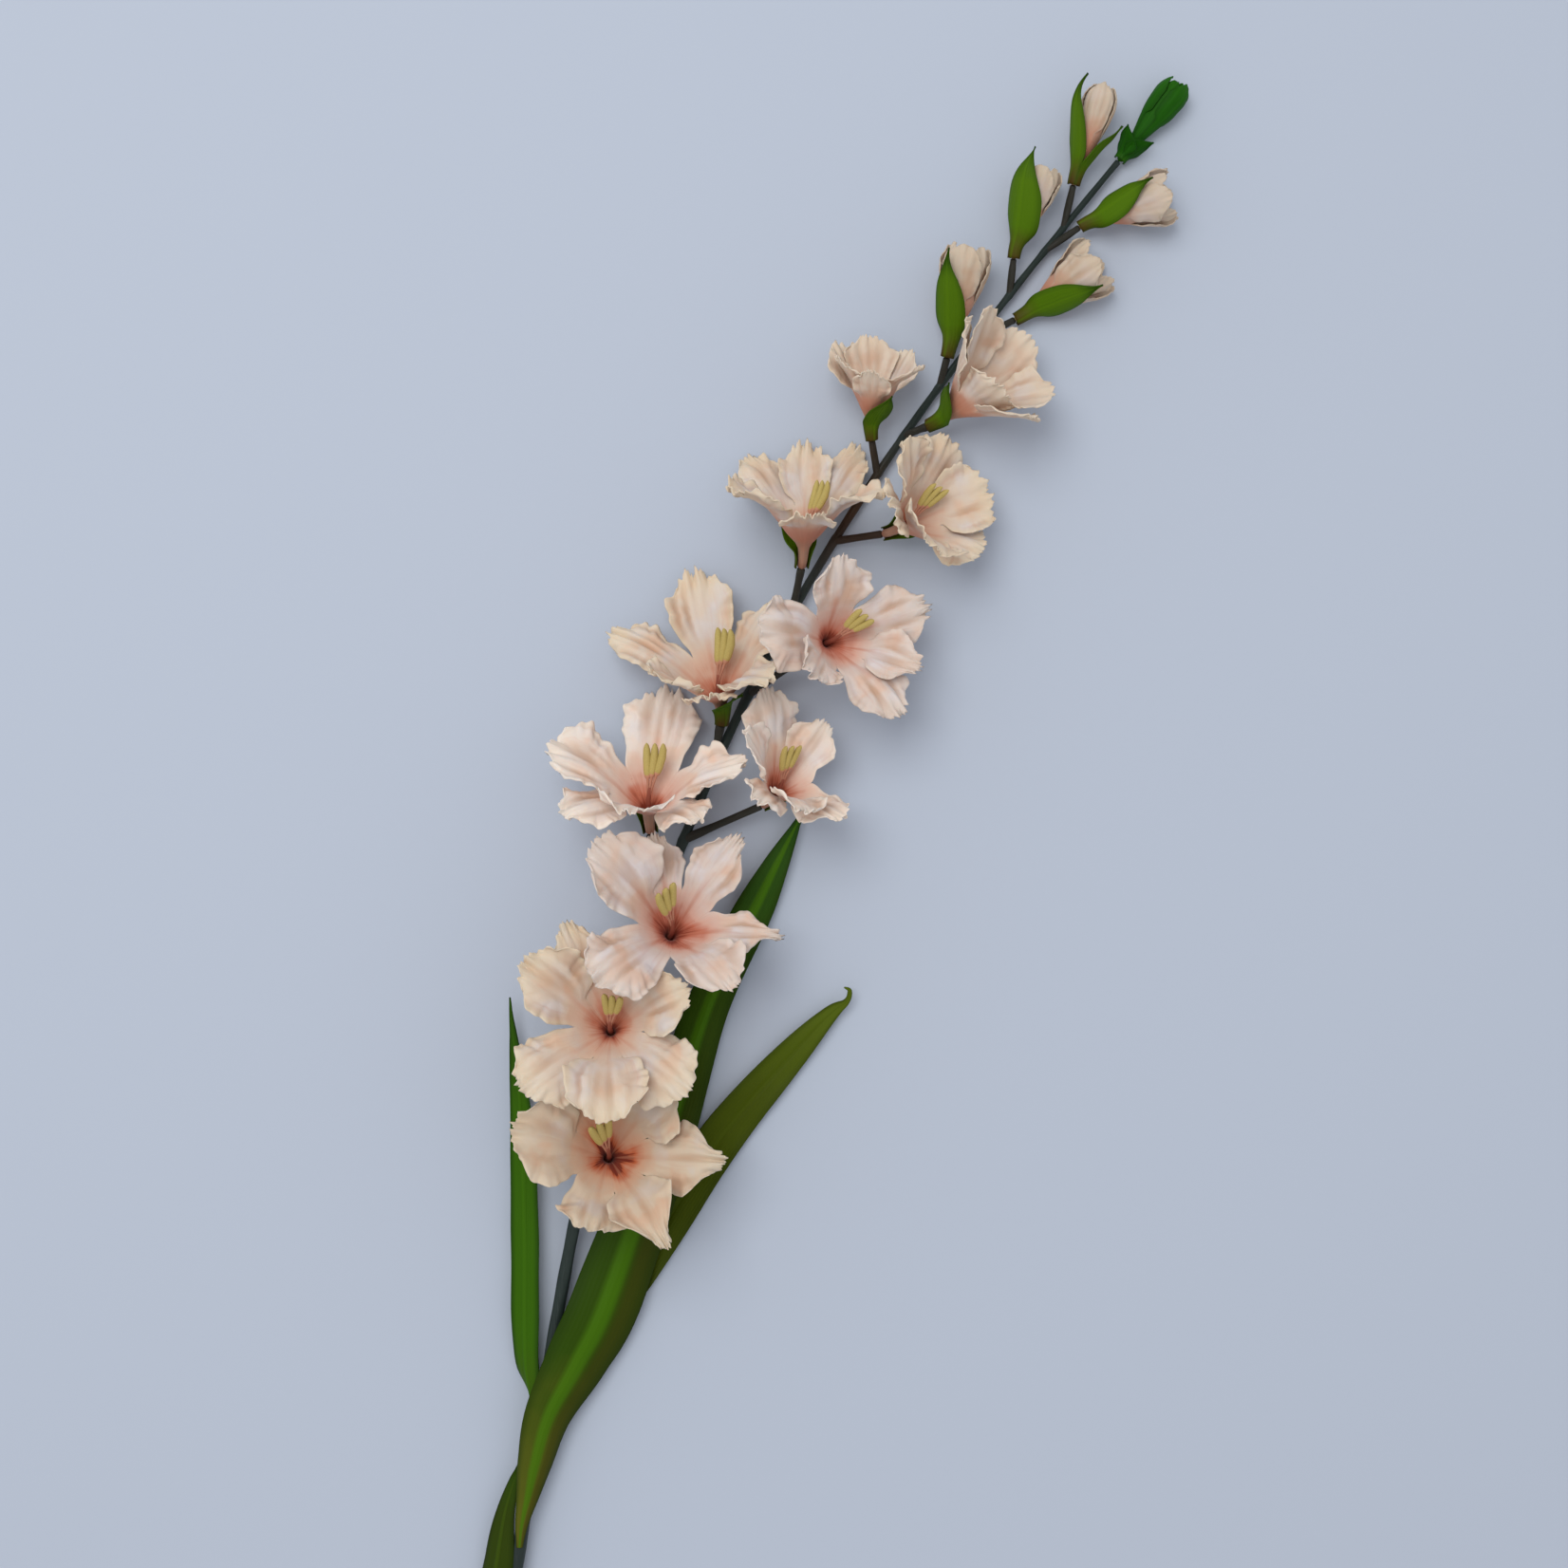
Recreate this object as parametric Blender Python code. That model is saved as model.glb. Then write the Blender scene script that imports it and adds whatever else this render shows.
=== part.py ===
"""A cut gladiolus stem lying on its back, built at its real size.

Metres, +Z up. The stem runs along +Y from its cut end to the green tip, and the mouths of the
florets face up. Every piece is one closed solid: the stem with its stalks, the sword leaves, the
bracts, the tepals of each floret, its stamens, the buds and the tip.
"""

import math
import random
from dataclasses import dataclass

import bmesh
import bpy
from mathutils import Matrix, Vector

MM = 0.001
UP = Vector((0.0, 0.0, 1.0))

# The stem's centre line. A heading is measured from +Y, positive to the right.
STEM_LENGTH = 922 * MM
STEM_FOOT = Vector((47 * MM, -476 * MM, 0.0))
STEM_HEADING_FOOT = math.radians(-10.8)
STEM_HEADING_TIP = math.radians(19.5)
STEM_BEND_FROM = 222 * MM
STEM_BEND_TO = 919 * MM
STEM_RADIUS_FOOT = 3.7 * MM
STEM_RADIUS_TIP = 1.5 * MM
STEM_SIDES = 8
STALK_SIDES = 5
STEM_RING_STEP = 58 * MM
# The stem lies on the surface at its foot, is carried higher by the leaves that clasp it and
# sinks again among the florets.
LIES_FLAT_TO = 60 * MM
CLASPED_HEIGHT = 9.5 * MM
CLASPED_FROM = 150 * MM
CLASPED_TO = 290 * MM
SPIKE_HEIGHT = 5.5 * MM
SPIKE_FROM = 500 * MM

# Thickness of every leaf, bract and tepal, and the gap between pieces that touch.
BLADE = 0.8 * MM
GAP = 0.4 * MM
MERGE = 0.01 * MM

# A petal or leaf that would sink into the surface bends up and lies along it.
SURFACE_CLEARANCE = 0.8 * MM
PETAL_SOFTNESS = 5.0 * MM
LEAF_SOFTNESS = 1.5 * MM

# The middle line of a tepal of size 1, in millimetres from the floret's base: the base disc, the
# narrow tube, the funnel and, past the sinus where the tepals part, the free blade.
BASE_DISC = 1.8
TUBE_END = 12.0
FUNNEL_START = 20.0
SINUS = 37.0
TEPAL_LENGTH = 38.0
BENDS_UP_PAST = SINUS + 0.4 * TEPAL_LENGTH
TUBE_ROWS = (0.0, BASE_DISC, 0.5 * SINUS, SINUS)
BLADE_ROWS = (0.12, 0.3, 0.52, 0.77, 1.0)
BUD_BLADE_ROWS = (0.1, 0.5, 1.0)
TEPAL_COLUMNS = 4
# A bloom opened less than this has the fewer rows and columns of a bud.
BUD_OPENED = 0.7
BUD_COLUMNS = 3
BRACT_COLUMNS = 4
PROFILE_STEP = 0.5
BEND_LENGTH = 13.0
# Slope of that line from the mouth's axis, in degrees, closed and fully open.
TUBE_SLOPE = 3.0
FUNNEL_SLOPE = (9.0, 43.0)
BLADE_SLOPE = (-6.0, 62.0)
TIP_CURL = (-16.0, 22.0)
# Blades of the two whorls: half their width, and how far they stand in or out of the middle line.
INNER_HALF_WIDTH = 20.0
OUTER_HALF_WIDTH = 17.5
INNER_OFFSET = 2.2
OUTER_OFFSET = -1.3
INNER_CUP_RADIUS = 42.0
OUTER_CUP_RADIUS = -90.0
OUTER_SPREAD = 5.0
# The tepals part slightly at the sinus, and a blade is shorter at its sides, which rounds its tip.
SINUS_CLEFT = 0.14
TIP_ROUNDING = 0.22
WIDEST_AT = 0.55
WIDTH_AT_SINUS = 0.35
RUFFLE = 2.0
RUFFLE_WAVES = 7

# A bract lies outside the bloom, by an offset that grows to its tip, all in millimetres.
BRACT_ROWS = 5
BRACT_FOOT = 3.0
BRACT_OFFSET = 1.45
BRACT_FLARE = 3.6
BRACT_REACH = 120.0
PAIRED_BRACT_REACH = 70.0
BRACT_CUP = 16.0
LEAF_COLUMNS = 6
LEAF_ROWS_EACH = 2


def smooth(value, low=0.0, high=1.0):
    """0 below low, 1 above high and an even S between them."""
    t = min(1.0, max(0.0, (value - low) / (high - low)))
    return t * t * (3 - 2 * t)


def mix(a, b, share):
    return a + (b - a) * share


def heading_at(along):
    share = smooth(along, STEM_BEND_FROM, STEM_BEND_TO)
    return mix(STEM_HEADING_FOOT, STEM_HEADING_TIP, share)


def level_axes(heading):
    """(right, ahead) of a level direction."""
    return (
        Vector((math.cos(heading), -math.sin(heading), 0.0)),
        Vector((math.sin(heading), math.cos(heading), 0.0)),
    )


def stem_height(along):
    """Height of the stem's centre line over the surface it lies on."""
    flat = STEM_RADIUS_FOOT * math.cos(math.pi / STEM_SIDES)
    lifted = mix(flat, CLASPED_HEIGHT, smooth(along, LIES_FLAT_TO, CLASPED_FROM))
    return mix(lifted, SPIKE_HEIGHT, smooth(along, CLASPED_TO, SPIKE_FROM))


def stem_radius(along):
    share = max(0.0, along - LIES_FLAT_TO) / (STEM_LENGTH - LIES_FLAT_TO)
    return mix(STEM_RADIUS_FOOT, STEM_RADIUS_TIP, share)


def stem_path():
    """Points of the centre line, one every millimetre."""
    points = [STEM_FOOT.copy()]
    for i in range(round(STEM_LENGTH / MM)):
        ahead = level_axes(heading_at((i + 0.5) * MM))[1]
        points.append(points[-1] + MM * ahead)
    return points


STEM_PATH = stem_path()


def stem_point(along):
    """The centre of the stem at this distance from the cut end."""
    place = min(max(along / MM, 0.0), len(STEM_PATH) - 1.001)
    i = int(place)
    point = STEM_PATH[i].lerp(STEM_PATH[i + 1], place - i)
    point.z = stem_height(along)
    return point


def beside_stem(along, right, height):
    """A point at this distance along the stem and to its right, all in millimetres."""
    point = stem_point(along * MM) + right * MM * level_axes(heading_at(along * MM))[0]
    point.z = height * MM
    return point


def off_surface(point, share, softness=PETAL_SOFTNESS):
    """The point pressed up, by this share, from where it would sink into the surface."""
    low = SURFACE_CLEARANCE
    pressed = low + softness * math.log1p(math.exp((point.z - low) / softness))
    point.z = mix(point.z, pressed, share)
    return point


@dataclass(frozen=True)
class Bract:
    """A green blade at a bloom's base, and how far its tip flares away from the bloom.

    side is in degrees round the base, and 90 is the side away from the surface.
    """

    side: float
    length: float
    half_width: float
    flare: float = 0.0


@dataclass(frozen=True)
class Lobe:
    """The free blade of one tepal: where it points round the mouth and its size against the usual.

    angle and spread are in degrees. spread opens it further than its neighbours, and taper is how
    much of its width is gone at the tip.
    """

    angle: float
    length: float = 1.0
    width: float = 1.0
    spread: float = 0.0
    taper: float = 0.42


@dataclass(frozen=True)
class Bloom:
    """A floret or a bud and where it grows. Lengths are in millimetres, angles in degrees.

    along is where its stalk leaves the stem, and stalk is (right, ahead, up) from the stem's centre
    to the bloom's base. turn is the mouth's direction against the stem's heading, positive to the
    right, and lean is how far it leans that way from straight up. opened is 0 for a closed bud and
    1 for an open floret. Where lobes are given, they are its six tepals, in order round the mouth,
    and the first, third and fifth are the inner whorl.
    """

    name: str
    along: float
    stalk: tuple
    turn: float
    lean: float
    size: float = 1.0
    opened: float = 1.0
    roll: float = 0.0
    bracts: tuple = (Bract(270, 34, 8),)
    stamens: bool = True
    lobes: tuple = ()


FLORETS = (
    Bloom(
        "floret_01", 342, (8, 19, 7), 8, 17, size=1.04, roll=36,
        lobes=(
            Lobe(24, 0.78, 0.95, -8), Lobe(100, 0.78, 0.9, 8),
            Lobe(146, 0.9, 1.08, -3, 0.34), Lobe(230, 0.72, 0.95, -20),
            Lobe(275, 1.06, 0.85, -3, 0.7), Lobe(329, 1.04, 1, 2, 0.6),
        ),
    ),
    Bloom(
        "floret_02", 395, (-2, 27, 13), -14, 16, size=0.92,
        lobes=(
            Lobe(35, 0.88, 0.95, 1, 0.4), Lobe(128, 1.15, 0.85, 2),
            Lobe(159, 1.1, 1, -7, 0.35), Lobe(235, 1.12, 1.15, 2, 0.2),
            Lobe(287, 1.14, 1.1, -7, 0.25), Lobe(333, 1.15, 1.15, 2, 0.2),
        ),
    ),
    Bloom(
        "floret_03", 444, (9, 28, 11), 8, 27, roll=50,
        lobes=(
            Lobe(18, 0.95, 0.68, -5, 0.5), Lobe(71, 0.76, 0.7, 9, 0.5),
            Lobe(111, 1.09, 1, -5, 0.3), Lobe(187, 1.12, 1.08, -1, 0.25),
            Lobe(265, 0.93, 0.85, -3, 0.35), Lobe(313, 0.97, 0.62, 2, 0.7),
        ),
    ),
    Bloom(
        "floret_04", 494, (-15, 29, 6.5), -18, 46, roll=10,
        lobes=(
            Lobe(9, 0.95, 0.8, -3, 0.4), Lobe(98, 1.15, 1.1, 2, 0.3),
            Lobe(192, 0.96, 1.05, -3, 0.3), Lobe(236, 0.95, 0.9, 7, 0.35),
            Lobe(278, 0.95, 0.9, -15), Lobe(323, 0.82, 0.8, 2),
        ),
    ),
    Bloom(
        "floret_05", 526, (29, 29, 10), 14, 42, size=0.82, opened=0.8, roll=20, bracts=(Bract(270, 28, 7),),
        lobes=(
            Lobe(52, 0.78, 0.8, -3), Lobe(107, 1.12, 1.1, 2, 0.3),
            Lobe(168, 1.05, 0.9, -11), Lobe(224, 1.1, 0.85, 2),
            Lobe(257, 1.1, 0.85, -3), Lobe(297, 0.96, 1, 2, 0.4),
        ),
    ),
    Bloom(
        "floret_06", 560, (-5, 24, 6), -36, 50, size=1.04, opened=0.95, bracts=(Bract(60, 38, 8),),
        lobes=(
            Lobe(-10, 0.93, 0.68, 8, 0.35), Lobe(80, 0.78, 0.8, 2),
            Lobe(138, 1.05, 0.8, -3, 0.35), Lobe(196, 1.05, 0.75, 4, 0.3),
            Lobe(262, 0.62, 0.9, -14), Lobe(311, 0.6, 0.7, -6),
        ),
    ),
    Bloom(
        "floret_07", 604, (19, 32, 16), 45, 26, size=0.86, roll=-20,
        lobes=(
            Lobe(18, 0.85, 0.75, -3), Lobe(64, 1.03, 1, 2, 0.4),
            Lobe(145, 0.82, 0.95, -6), Lobe(227, 1.12, 1.2, 2, 0.2),
            Lobe(265, 0.95, 0.8, -17), Lobe(345, 1.08, 1, 2, 0.35),
        ),
    ),
    Bloom(
        "floret_08", 650, (-6, 19, 11), -28, 62, size=0.9, opened=0.95, bracts=(Bract(250, 38, 9),),
        lobes=(
            Lobe(14, 1.05, 0.9, -3, 0.3), Lobe(108, 1.24, 0.85, -5, 0.3),
            Lobe(139, 0.98, 0.75, -8, 0.4), Lobe(174, 1.14, 0.85, 2, 0.25),
            Lobe(259, 0.95, 1.05, -3, 0.25), Lobe(321, 0.75, 0.85, -6),
        ),
    ),
    Bloom(
        "floret_09", 690, (18, 14, 9), 30, 46, size=0.82, opened=0.85,
        lobes=(
            Lobe(40, 0.87, 1.1, -3, 0.15), Lobe(94, 1.02, 1.15, 2, 0.15),
            Lobe(161, 0.97, 1.05, -3, 0.2), Lobe(217, 0.97, 1, 2, 0.2),
            Lobe(261, 1.1, 1.1, -3, 0.15), Lobe(341, 0.78, 1.15, 2, 0.15),
        ),
    ),
    Bloom(
        "floret_10", 729, (-11, 11, 7), -30, 64, size=0.73, opened=0.6, bracts=(Bract(60, 32, 7),),
        stamens=False,
        lobes=(
            Lobe(16, 0.94, 0.55, 18, 0.6), Lobe(96, 0.82, 0.9, 0, 0.35),
            Lobe(153, 0.92, 1.05, 0, 0.3), Lobe(201, 0.9, 1.05, 0, 0.3),
            Lobe(253, 0.75, 0.95, 4, 0.3), Lobe(316, 0.72, 0.75, -6, 0.4),
        ),
    ),
    Bloom(
        "floret_11", 752, (7, 9, 7), 20, 52, size=0.94, opened=0.55, roll=30, bracts=(Bract(150, 36, 7),),
        stamens=False,
        lobes=(
            Lobe(-31, 0.88, 1.1, 0, 0.25), Lobe(44, 0.93, 1.05, 0, 0.25),
            Lobe(113, 0.98, 1, 0, 0.25), Lobe(149, 0.97, 0.9, 0, 0.3),
            Lobe(231, 0.72, 1, -8, 0.4), Lobe(276, 0.92, 1.0, 4, 0.35),
        ),
    ),
)
BUDS = (
    Bloom("bud_12", 782, (-5, 12, 4), -26, 80, size=0.78, opened=0.25, bracts=(Bract(140, 50, 9, 2),)),
    Bloom("bud_13", 810, (9.5, 19.5, 1), 19, 80, size=0.72, opened=0.36, bracts=(Bract(40, 46, 9),)),
    Bloom("bud_14", 838, (-9, 14, 4), -19, 80, size=0.66, opened=0.25, bracts=(Bract(148, 50, 12, 2),)),
    Bloom("bud_15", 866, (6, 18, 4), 35, 78, size=0.68, opened=0.33, bracts=(Bract(130, 42, 9),)),
    Bloom(
        "bud_16", 880, (-9, 18, 4), -22, 80, size=0.7, opened=0.15,
        bracts=(Bract(170, 48, 7.5, 2), Bract(-10, 34, 6.5, 2)),
    ),
)
TIP = Bloom(
    "tip_bud", 921, (0, 1.8, 0), -1, 86, size=0.68, opened=0.15,
    bracts=(Bract(170, 14, 7, 1), Bract(-10, 16, 6.5, 1)),
)


@dataclass(frozen=True)
class Station:
    """One place along a leaf, in millimetres and degrees.

    right is measured from the stem's centre line and height from the surface. facing is where the
    outside of the leaf looks, with 0 to the right and 90 straight up, and its two edges curl away
    from that side at the radius curl.
    """

    along: float
    right: float
    height: float
    facing: float
    half_width: float
    curl: float


def clasping(along, side, radius, half_width):
    """A station where the leaf lies round the stem, its middle on this side of it."""
    turn = math.radians(side)
    height = stem_height(along * MM) / MM + radius * math.sin(turn)
    return Station(along, radius * math.cos(turn), height, side, half_width, radius)


# The radius at which leaves clasp the stem.
CLASP = 4.5
LEAVES = {
    "leaf_left": (
        clasping(214, 172, CLASP, 4.5),
        clasping(238, 168, CLASP, 6),
        Station(263, -12, 10, 115, 7, 20),
        Station(322, -23, 10, 100, 7, 40),
        Station(375, -36, 10, 95, 5.5, 40),
        Station(429, -56, 10, 95, 0, 40),
    ),
    "leaf_right": (
        clasping(205, -45, CLASP, 3.5),
        clasping(238, -45, 5.2, 5),
        Station(275, 18, 3.5, -75, 9, 25),
        Station(329, 40, 2.7, -88, 11, 60),
        Station(385, 60, 3.5, -90, 11, 60),
        Station(437, 83, 4.5, -90, 8, 50),
        Station(470, 97, 6, -90, 4, 40),
        Station(482, 105, 8, -90, 0, 30),
    ),
    "leaf_tall": (
        Station(172, 0.3, 13.8, 85, 1.5, 5),
        Station(184, -0.3, 14.0, 85, 3.3, 5.5),
        Station(200, 0.6, 14.6, 85, 6.6, 8),
        Station(214, 1.4, 15.4, 85, 9.8, 10),
        Station(238, 4.4, 15.8, 78, 12.2, 20),
        Station(266, 14, 15.2, 74, 16.2, 36),
        Station(300, 23.5, 13.8, 79, 17.5, 50),
        Station(386, 35, 9, 90, 13.5, 50),
        Station(452, 38, 8, 90, 10.5, 50),
        Station(511, 45, 7, 90, 9, 40),
        Station(565, 49, 6, 90, 0, 40),
    ),
    "leaf_sheath": (
        clasping(98, 150, CLASP, 3),
        clasping(120, 145, CLASP, 7),
        Station(142, -8.5, 11, 140, 9.5, 11),
        Station(165, -9.5, 11.5, 128, 8, 12),
        Station(186, -9.5, 10.5, 112, 5, 14),
        Station(203, -7.5, 10, 102, 2.4, 20),
        Station(213, -6, 9.5, 100, 0, 20),
    ),
}


@dataclass(frozen=True)
class Tepal:
    """One tepal of a bloom, and the angles from its middle to the seams before and after it."""

    lobe: Lobe
    inner: bool
    before: float
    after: float
    phase: float


def tepals_of(bloom):
    """The six tepals. Unless lobes are given, they stand evenly, with small differences."""
    draw = random.Random(bloom.name)
    lobes = []
    phases = []
    for i in range(6):
        lobes.append(Lobe(
            angle=30 + 60 * i,
            length=draw.uniform(0.93, 1.03),
            width=draw.uniform(0.94, 1.04),
            spread=(draw.uniform(-6, -1) if i % 2 == 0 else draw.uniform(0, OUTER_SPREAD)) * bloom.opened,
        ))
        phases.append(draw.uniform(0, math.tau))
    lobes = bloom.lobes or lobes
    made = []
    for i, lobe in enumerate(lobes):
        made.append(Tepal(
            lobe=lobe,
            inner=i % 2 == 0,
            before=math.radians((lobe.angle - lobes[i - 1].angle) % 360) / 2,
            after=math.radians((lobes[(i + 1) % 6].angle - lobe.angle) % 360) / 2,
            phase=phases[i],
        ))
    return made


def middle_line(bloom, spread=0.0):
    """(radius, height, slope) of a tepal's middle line at every step from the base, for size 1."""
    funnel = mix(*FUNNEL_SLOPE, bloom.opened)
    blade = mix(*BLADE_SLOPE, bloom.opened) + spread
    curl = mix(*TIP_CURL, bloom.opened)
    radius = height = 0.0
    line = []
    for i in range(round((SINUS + TEPAL_LENGTH) / PROFILE_STEP) + 3):
        along = (i + 0.5) * PROFILE_STEP
        share = (along - SINUS) / TEPAL_LENGTH
        slope = mix(TUBE_SLOPE, funnel, smooth(along, TUBE_END, FUNNEL_START))
        slope = mix(slope, blade, smooth(share, 0.0, 0.55)) + curl * smooth(share, 0.5, 1.0)
        slope = math.radians(90 if along < BASE_DISC else slope)
        line.append((radius, height, slope))
        radius += PROFILE_STEP * math.sin(slope)
        height += PROFILE_STEP * math.cos(slope)
    return line


def on_line(line, along):
    """(radius, height, slope) at this distance from the base."""
    place = along / PROFILE_STEP
    i = min(int(place), len(line) - 2)
    return tuple(mix(a, b, place - i) for a, b in zip(line[i], line[i + 1]))


def blade_width(share, taper):
    """Half the width of a free blade against its widest, from the sinus to the tip."""
    grown = mix(WIDTH_AT_SINUS, 1.0, math.sin(0.5 * math.pi * min(1.0, share / WIDEST_AT)))
    return grown * (1 - taper * smooth(share, 1.04 - taper, 1.0) ** 1.3)


def tepal_point(bloom, tepal, line, across, along):
    """A point of a tepal in the floret's own axes, for size 1.

    across runs from -1 to 1 and along is the distance from the base. Up to the sinus the six
    tepals are one tube. The blade past it leaves the tube's round for a cupped and ruffled form.
    """
    share = max(0.0, (along - SINUS) / TEPAL_LENGTH)
    lobe = tepal.lobe
    along -= TEPAL_LENGTH * share * (1 - lobe.length * (1 - TIP_ROUNDING * (across * share) ** 2))
    radius, height, slope = on_line(line, along)
    seam = radius * (tepal.after if across > 0 else tepal.before)
    widest = (INNER_HALF_WIDTH if tepal.inner else OUTER_HALF_WIDTH) * lobe.width
    middle = math.radians(lobe.angle)
    offset = (INNER_OFFSET if tepal.inner else OUTER_OFFSET) * smooth(share, 0.0, 0.18)
    half = mix(
        seam * (1 - SINUS_CLEFT * smooth(share, 0.0, 0.08)),
        min(widest * blade_width(share, lobe.taper), 0.98 * (radius - abs(offset))),
        smooth(share, 0.08, 0.3),
    )
    turn = middle + across * half / radius if radius > 0 else middle
    freed = smooth(share, 0.0, 0.4) * smooth(bloom.opened, 0.25, 0.9)
    edge = max(abs(across), (share - 0.45) / 0.55)
    wave = math.sin(RUFFLE_WAVES * math.atan2(across, share - 0.4) + tepal.phase)
    bias = 0.6 if tepal.inner else -0.6
    ruffle = RUFFLE * lobe.length * bloom.opened
    lift = offset + ruffle * (wave + bias) * edge ** 2.5 * smooth(share, 0.1, 0.4)
    rounded = Vector((radius * math.cos(turn), radius * math.sin(turn), height))
    rounded += lift * Vector((
        -math.cos(slope) * math.cos(turn), -math.cos(slope) * math.sin(turn), math.sin(slope),
    ))
    if freed == 0:
        return rounded
    outward = Vector((math.cos(middle), math.sin(middle), 0.0))
    sideways = Vector((-outward.y, outward.x, 0.0))
    inward = UP * math.sin(slope) - outward * math.cos(slope)
    cup = INNER_CUP_RADIUS if tepal.inner else OUTER_CUP_RADIUS
    bend = across * half / cup
    free = outward * radius + UP * height + sideways * cup * math.sin(bend)
    free += inward * (cup * (1 - math.cos(bend)) + lift)
    return rounded.lerp(free, freed)


@dataclass(frozen=True)
class Seat:
    """Where a bloom sits: its base, its stalk's direction and the axes of its mouth."""

    base: Vector
    stalk: Vector
    across: Vector
    dorsal: Vector
    mouth: Vector
    size: float

    def place(self, point):
        """A point in the floret's own millimetres, carried along the bent tube into place."""
        bend = BEND_LENGTH * self.size * MM
        x, y, z = point * self.size * MM
        t = min(1.0, z / bend)
        centre = self.base + bend * (self.stalk * t * (1 - t / 2) + self.mouth * t * t / 2)
        centre += self.mouth * max(0.0, z - bend)
        tangent = self.stalk.lerp(self.mouth, t)
        turned = self.mouth.rotation_difference(tangent)
        return centre + turned @ (self.across * x + self.dorsal * y)


def seat_of(bloom):
    along = bloom.along * MM
    right, ahead = level_axes(heading_at(along))
    stalk = (right * bloom.stalk[0] + ahead * bloom.stalk[1] + UP * bloom.stalk[2]) * MM
    sideways = level_axes(heading_at(along) + math.radians(bloom.turn))[1]
    lean = math.radians(bloom.lean)
    mouth = sideways * math.sin(lean) + UP * math.cos(lean)
    dorsal = (ahead - mouth * ahead.dot(mouth)).normalized()
    rolled = Matrix.Rotation(math.radians(bloom.roll), 3, mouth)
    dorsal = rolled @ dorsal
    return Seat(
        base=stem_point(along) + stalk,
        stalk=stalk.normalized(),
        across=dorsal.cross(mouth),
        dorsal=dorsal,
        mouth=mouth,
        size=bloom.size,
    )


def material(name, colour, roughness):
    made = bpy.data.materials.new(name)
    made.use_nodes = True
    made.diffuse_color = (*colour, 1.0)
    surface = made.node_tree.nodes["Principled BSDF"]
    surface.inputs["Base Color"].default_value = (*colour, 1.0)
    surface.inputs["Roughness"].default_value = roughness
    return made


def add_grid(bm, columns, rows, place):
    """Add a grid whose points are place(across, row), across from -1 to 1 and row from 0."""
    made = bmesh.ops.create_grid(bm, x_segments=columns, y_segments=rows, size=1.0)
    for vertex in made["verts"]:
        row = round((vertex.co.y + 1) * rows / 2)
        vertex.co = place(vertex.co.x, row)


def object_from(name, bm, paint):
    """Weld, close and triangulate the mesh, and make it a smooth object with this material."""
    bmesh.ops.remove_doubles(bm, verts=bm.verts, dist=MERGE)
    bmesh.ops.triangulate(bm, faces=bm.faces)
    bmesh.ops.recalc_face_normals(bm, faces=bm.faces)
    mesh = bpy.data.meshes.new(name)
    bm.to_mesh(mesh)
    bm.free()
    mesh.shade_smooth()
    mesh.materials.append(paint)
    made = bpy.data.objects.new(name, mesh)
    bpy.context.scene.collection.objects.link(made)
    return made


def blade_from(name, bm, paint, thickness=BLADE):
    """A thin blade: the open sheet of the mesh, thickened evenly to both sides."""
    made = object_from(name, bm, paint)
    solidify = made.modifiers.new("thickness", "SOLIDIFY")
    solidify.thickness = thickness
    solidify.offset = 0.0
    return made


def add_tube(bm, rings, sides):
    """A closed tube through rings of (centre, right, up, radius), with a flat side down."""
    def place(across, row):
        centre, right, up, radius = rings[row]
        turn = math.pi * across + math.pi / sides - math.pi / 2
        return centre + radius * (right * math.cos(turn) + up * math.sin(turn))

    add_grid(bm, sides, len(rings) - 1, place)
    bmesh.ops.remove_doubles(bm, verts=bm.verts, dist=MERGE)
    open_edges = [edge for edge in bm.edges if edge.is_boundary]
    bmesh.ops.holes_fill(bm, edges=open_edges, sides=0)


def straight_rings(start, end, radii):
    """Rings along a straight line, one for each radius."""
    ahead = (end - start).normalized()
    right = ahead.cross(UP).normalized()
    up = right.cross(ahead)
    last = len(radii) - 1
    return [(start.lerp(end, i / last), right, up, radius) for i, radius in enumerate(radii)]


def fused(name, tubes, paint):
    """One solid from tubes, each (rings, sides), that run into each other."""
    helpers = bpy.data.collections.new(name + "_helpers")
    made = None
    for rings, sides in tubes:
        bm = bmesh.new()
        add_tube(bm, rings, sides)
        piece = object_from(name, bm, paint)
        if made:
            helpers.objects.link(piece)
        else:
            made = piece
    union = made.modifiers.new("union", "BOOLEAN")
    union.operation = "UNION"
    union.operand_type = "COLLECTION"
    union.collection = helpers
    union.solver = "EXACT"
    whole = bpy.data.meshes.new_from_object(made.evaluated_get(bpy.context.evaluated_depsgraph_get()))
    made.modifiers.remove(union)
    made.data = whole
    for piece in list(helpers.objects):
        bpy.data.objects.remove(piece)
    bpy.data.collections.remove(helpers)
    return made


def build_stem(blooms, paint):
    """The stem with the short stalk of every bloom, which ends just short of the bloom's base."""
    ends = [0.0, LIES_FLAT_TO]
    count = round((STEM_LENGTH - LIES_FLAT_TO) / STEM_RING_STEP)
    ends += [mix(LIES_FLAT_TO, STEM_LENGTH, (i + 1) / count) for i in range(count)]
    rings = []
    for along in ends:
        right = level_axes(heading_at(along))[0]
        rings.append((stem_point(along), right, UP, stem_radius(along)))
    tubes = [(rings, STEM_SIDES)]
    for bloom in blooms:
        seat = seat_of(bloom)
        root = stem_point(bloom.along * MM)
        radius = stem_radius(bloom.along * MM)
        end = seat.base - seat.stalk * (BLADE / 2 + GAP)
        tubes.append((straight_rings(root, end, (0.8 * radius, 1.8 * MM)), STALK_SIDES))
    return fused("stem", tubes, paint)


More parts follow.
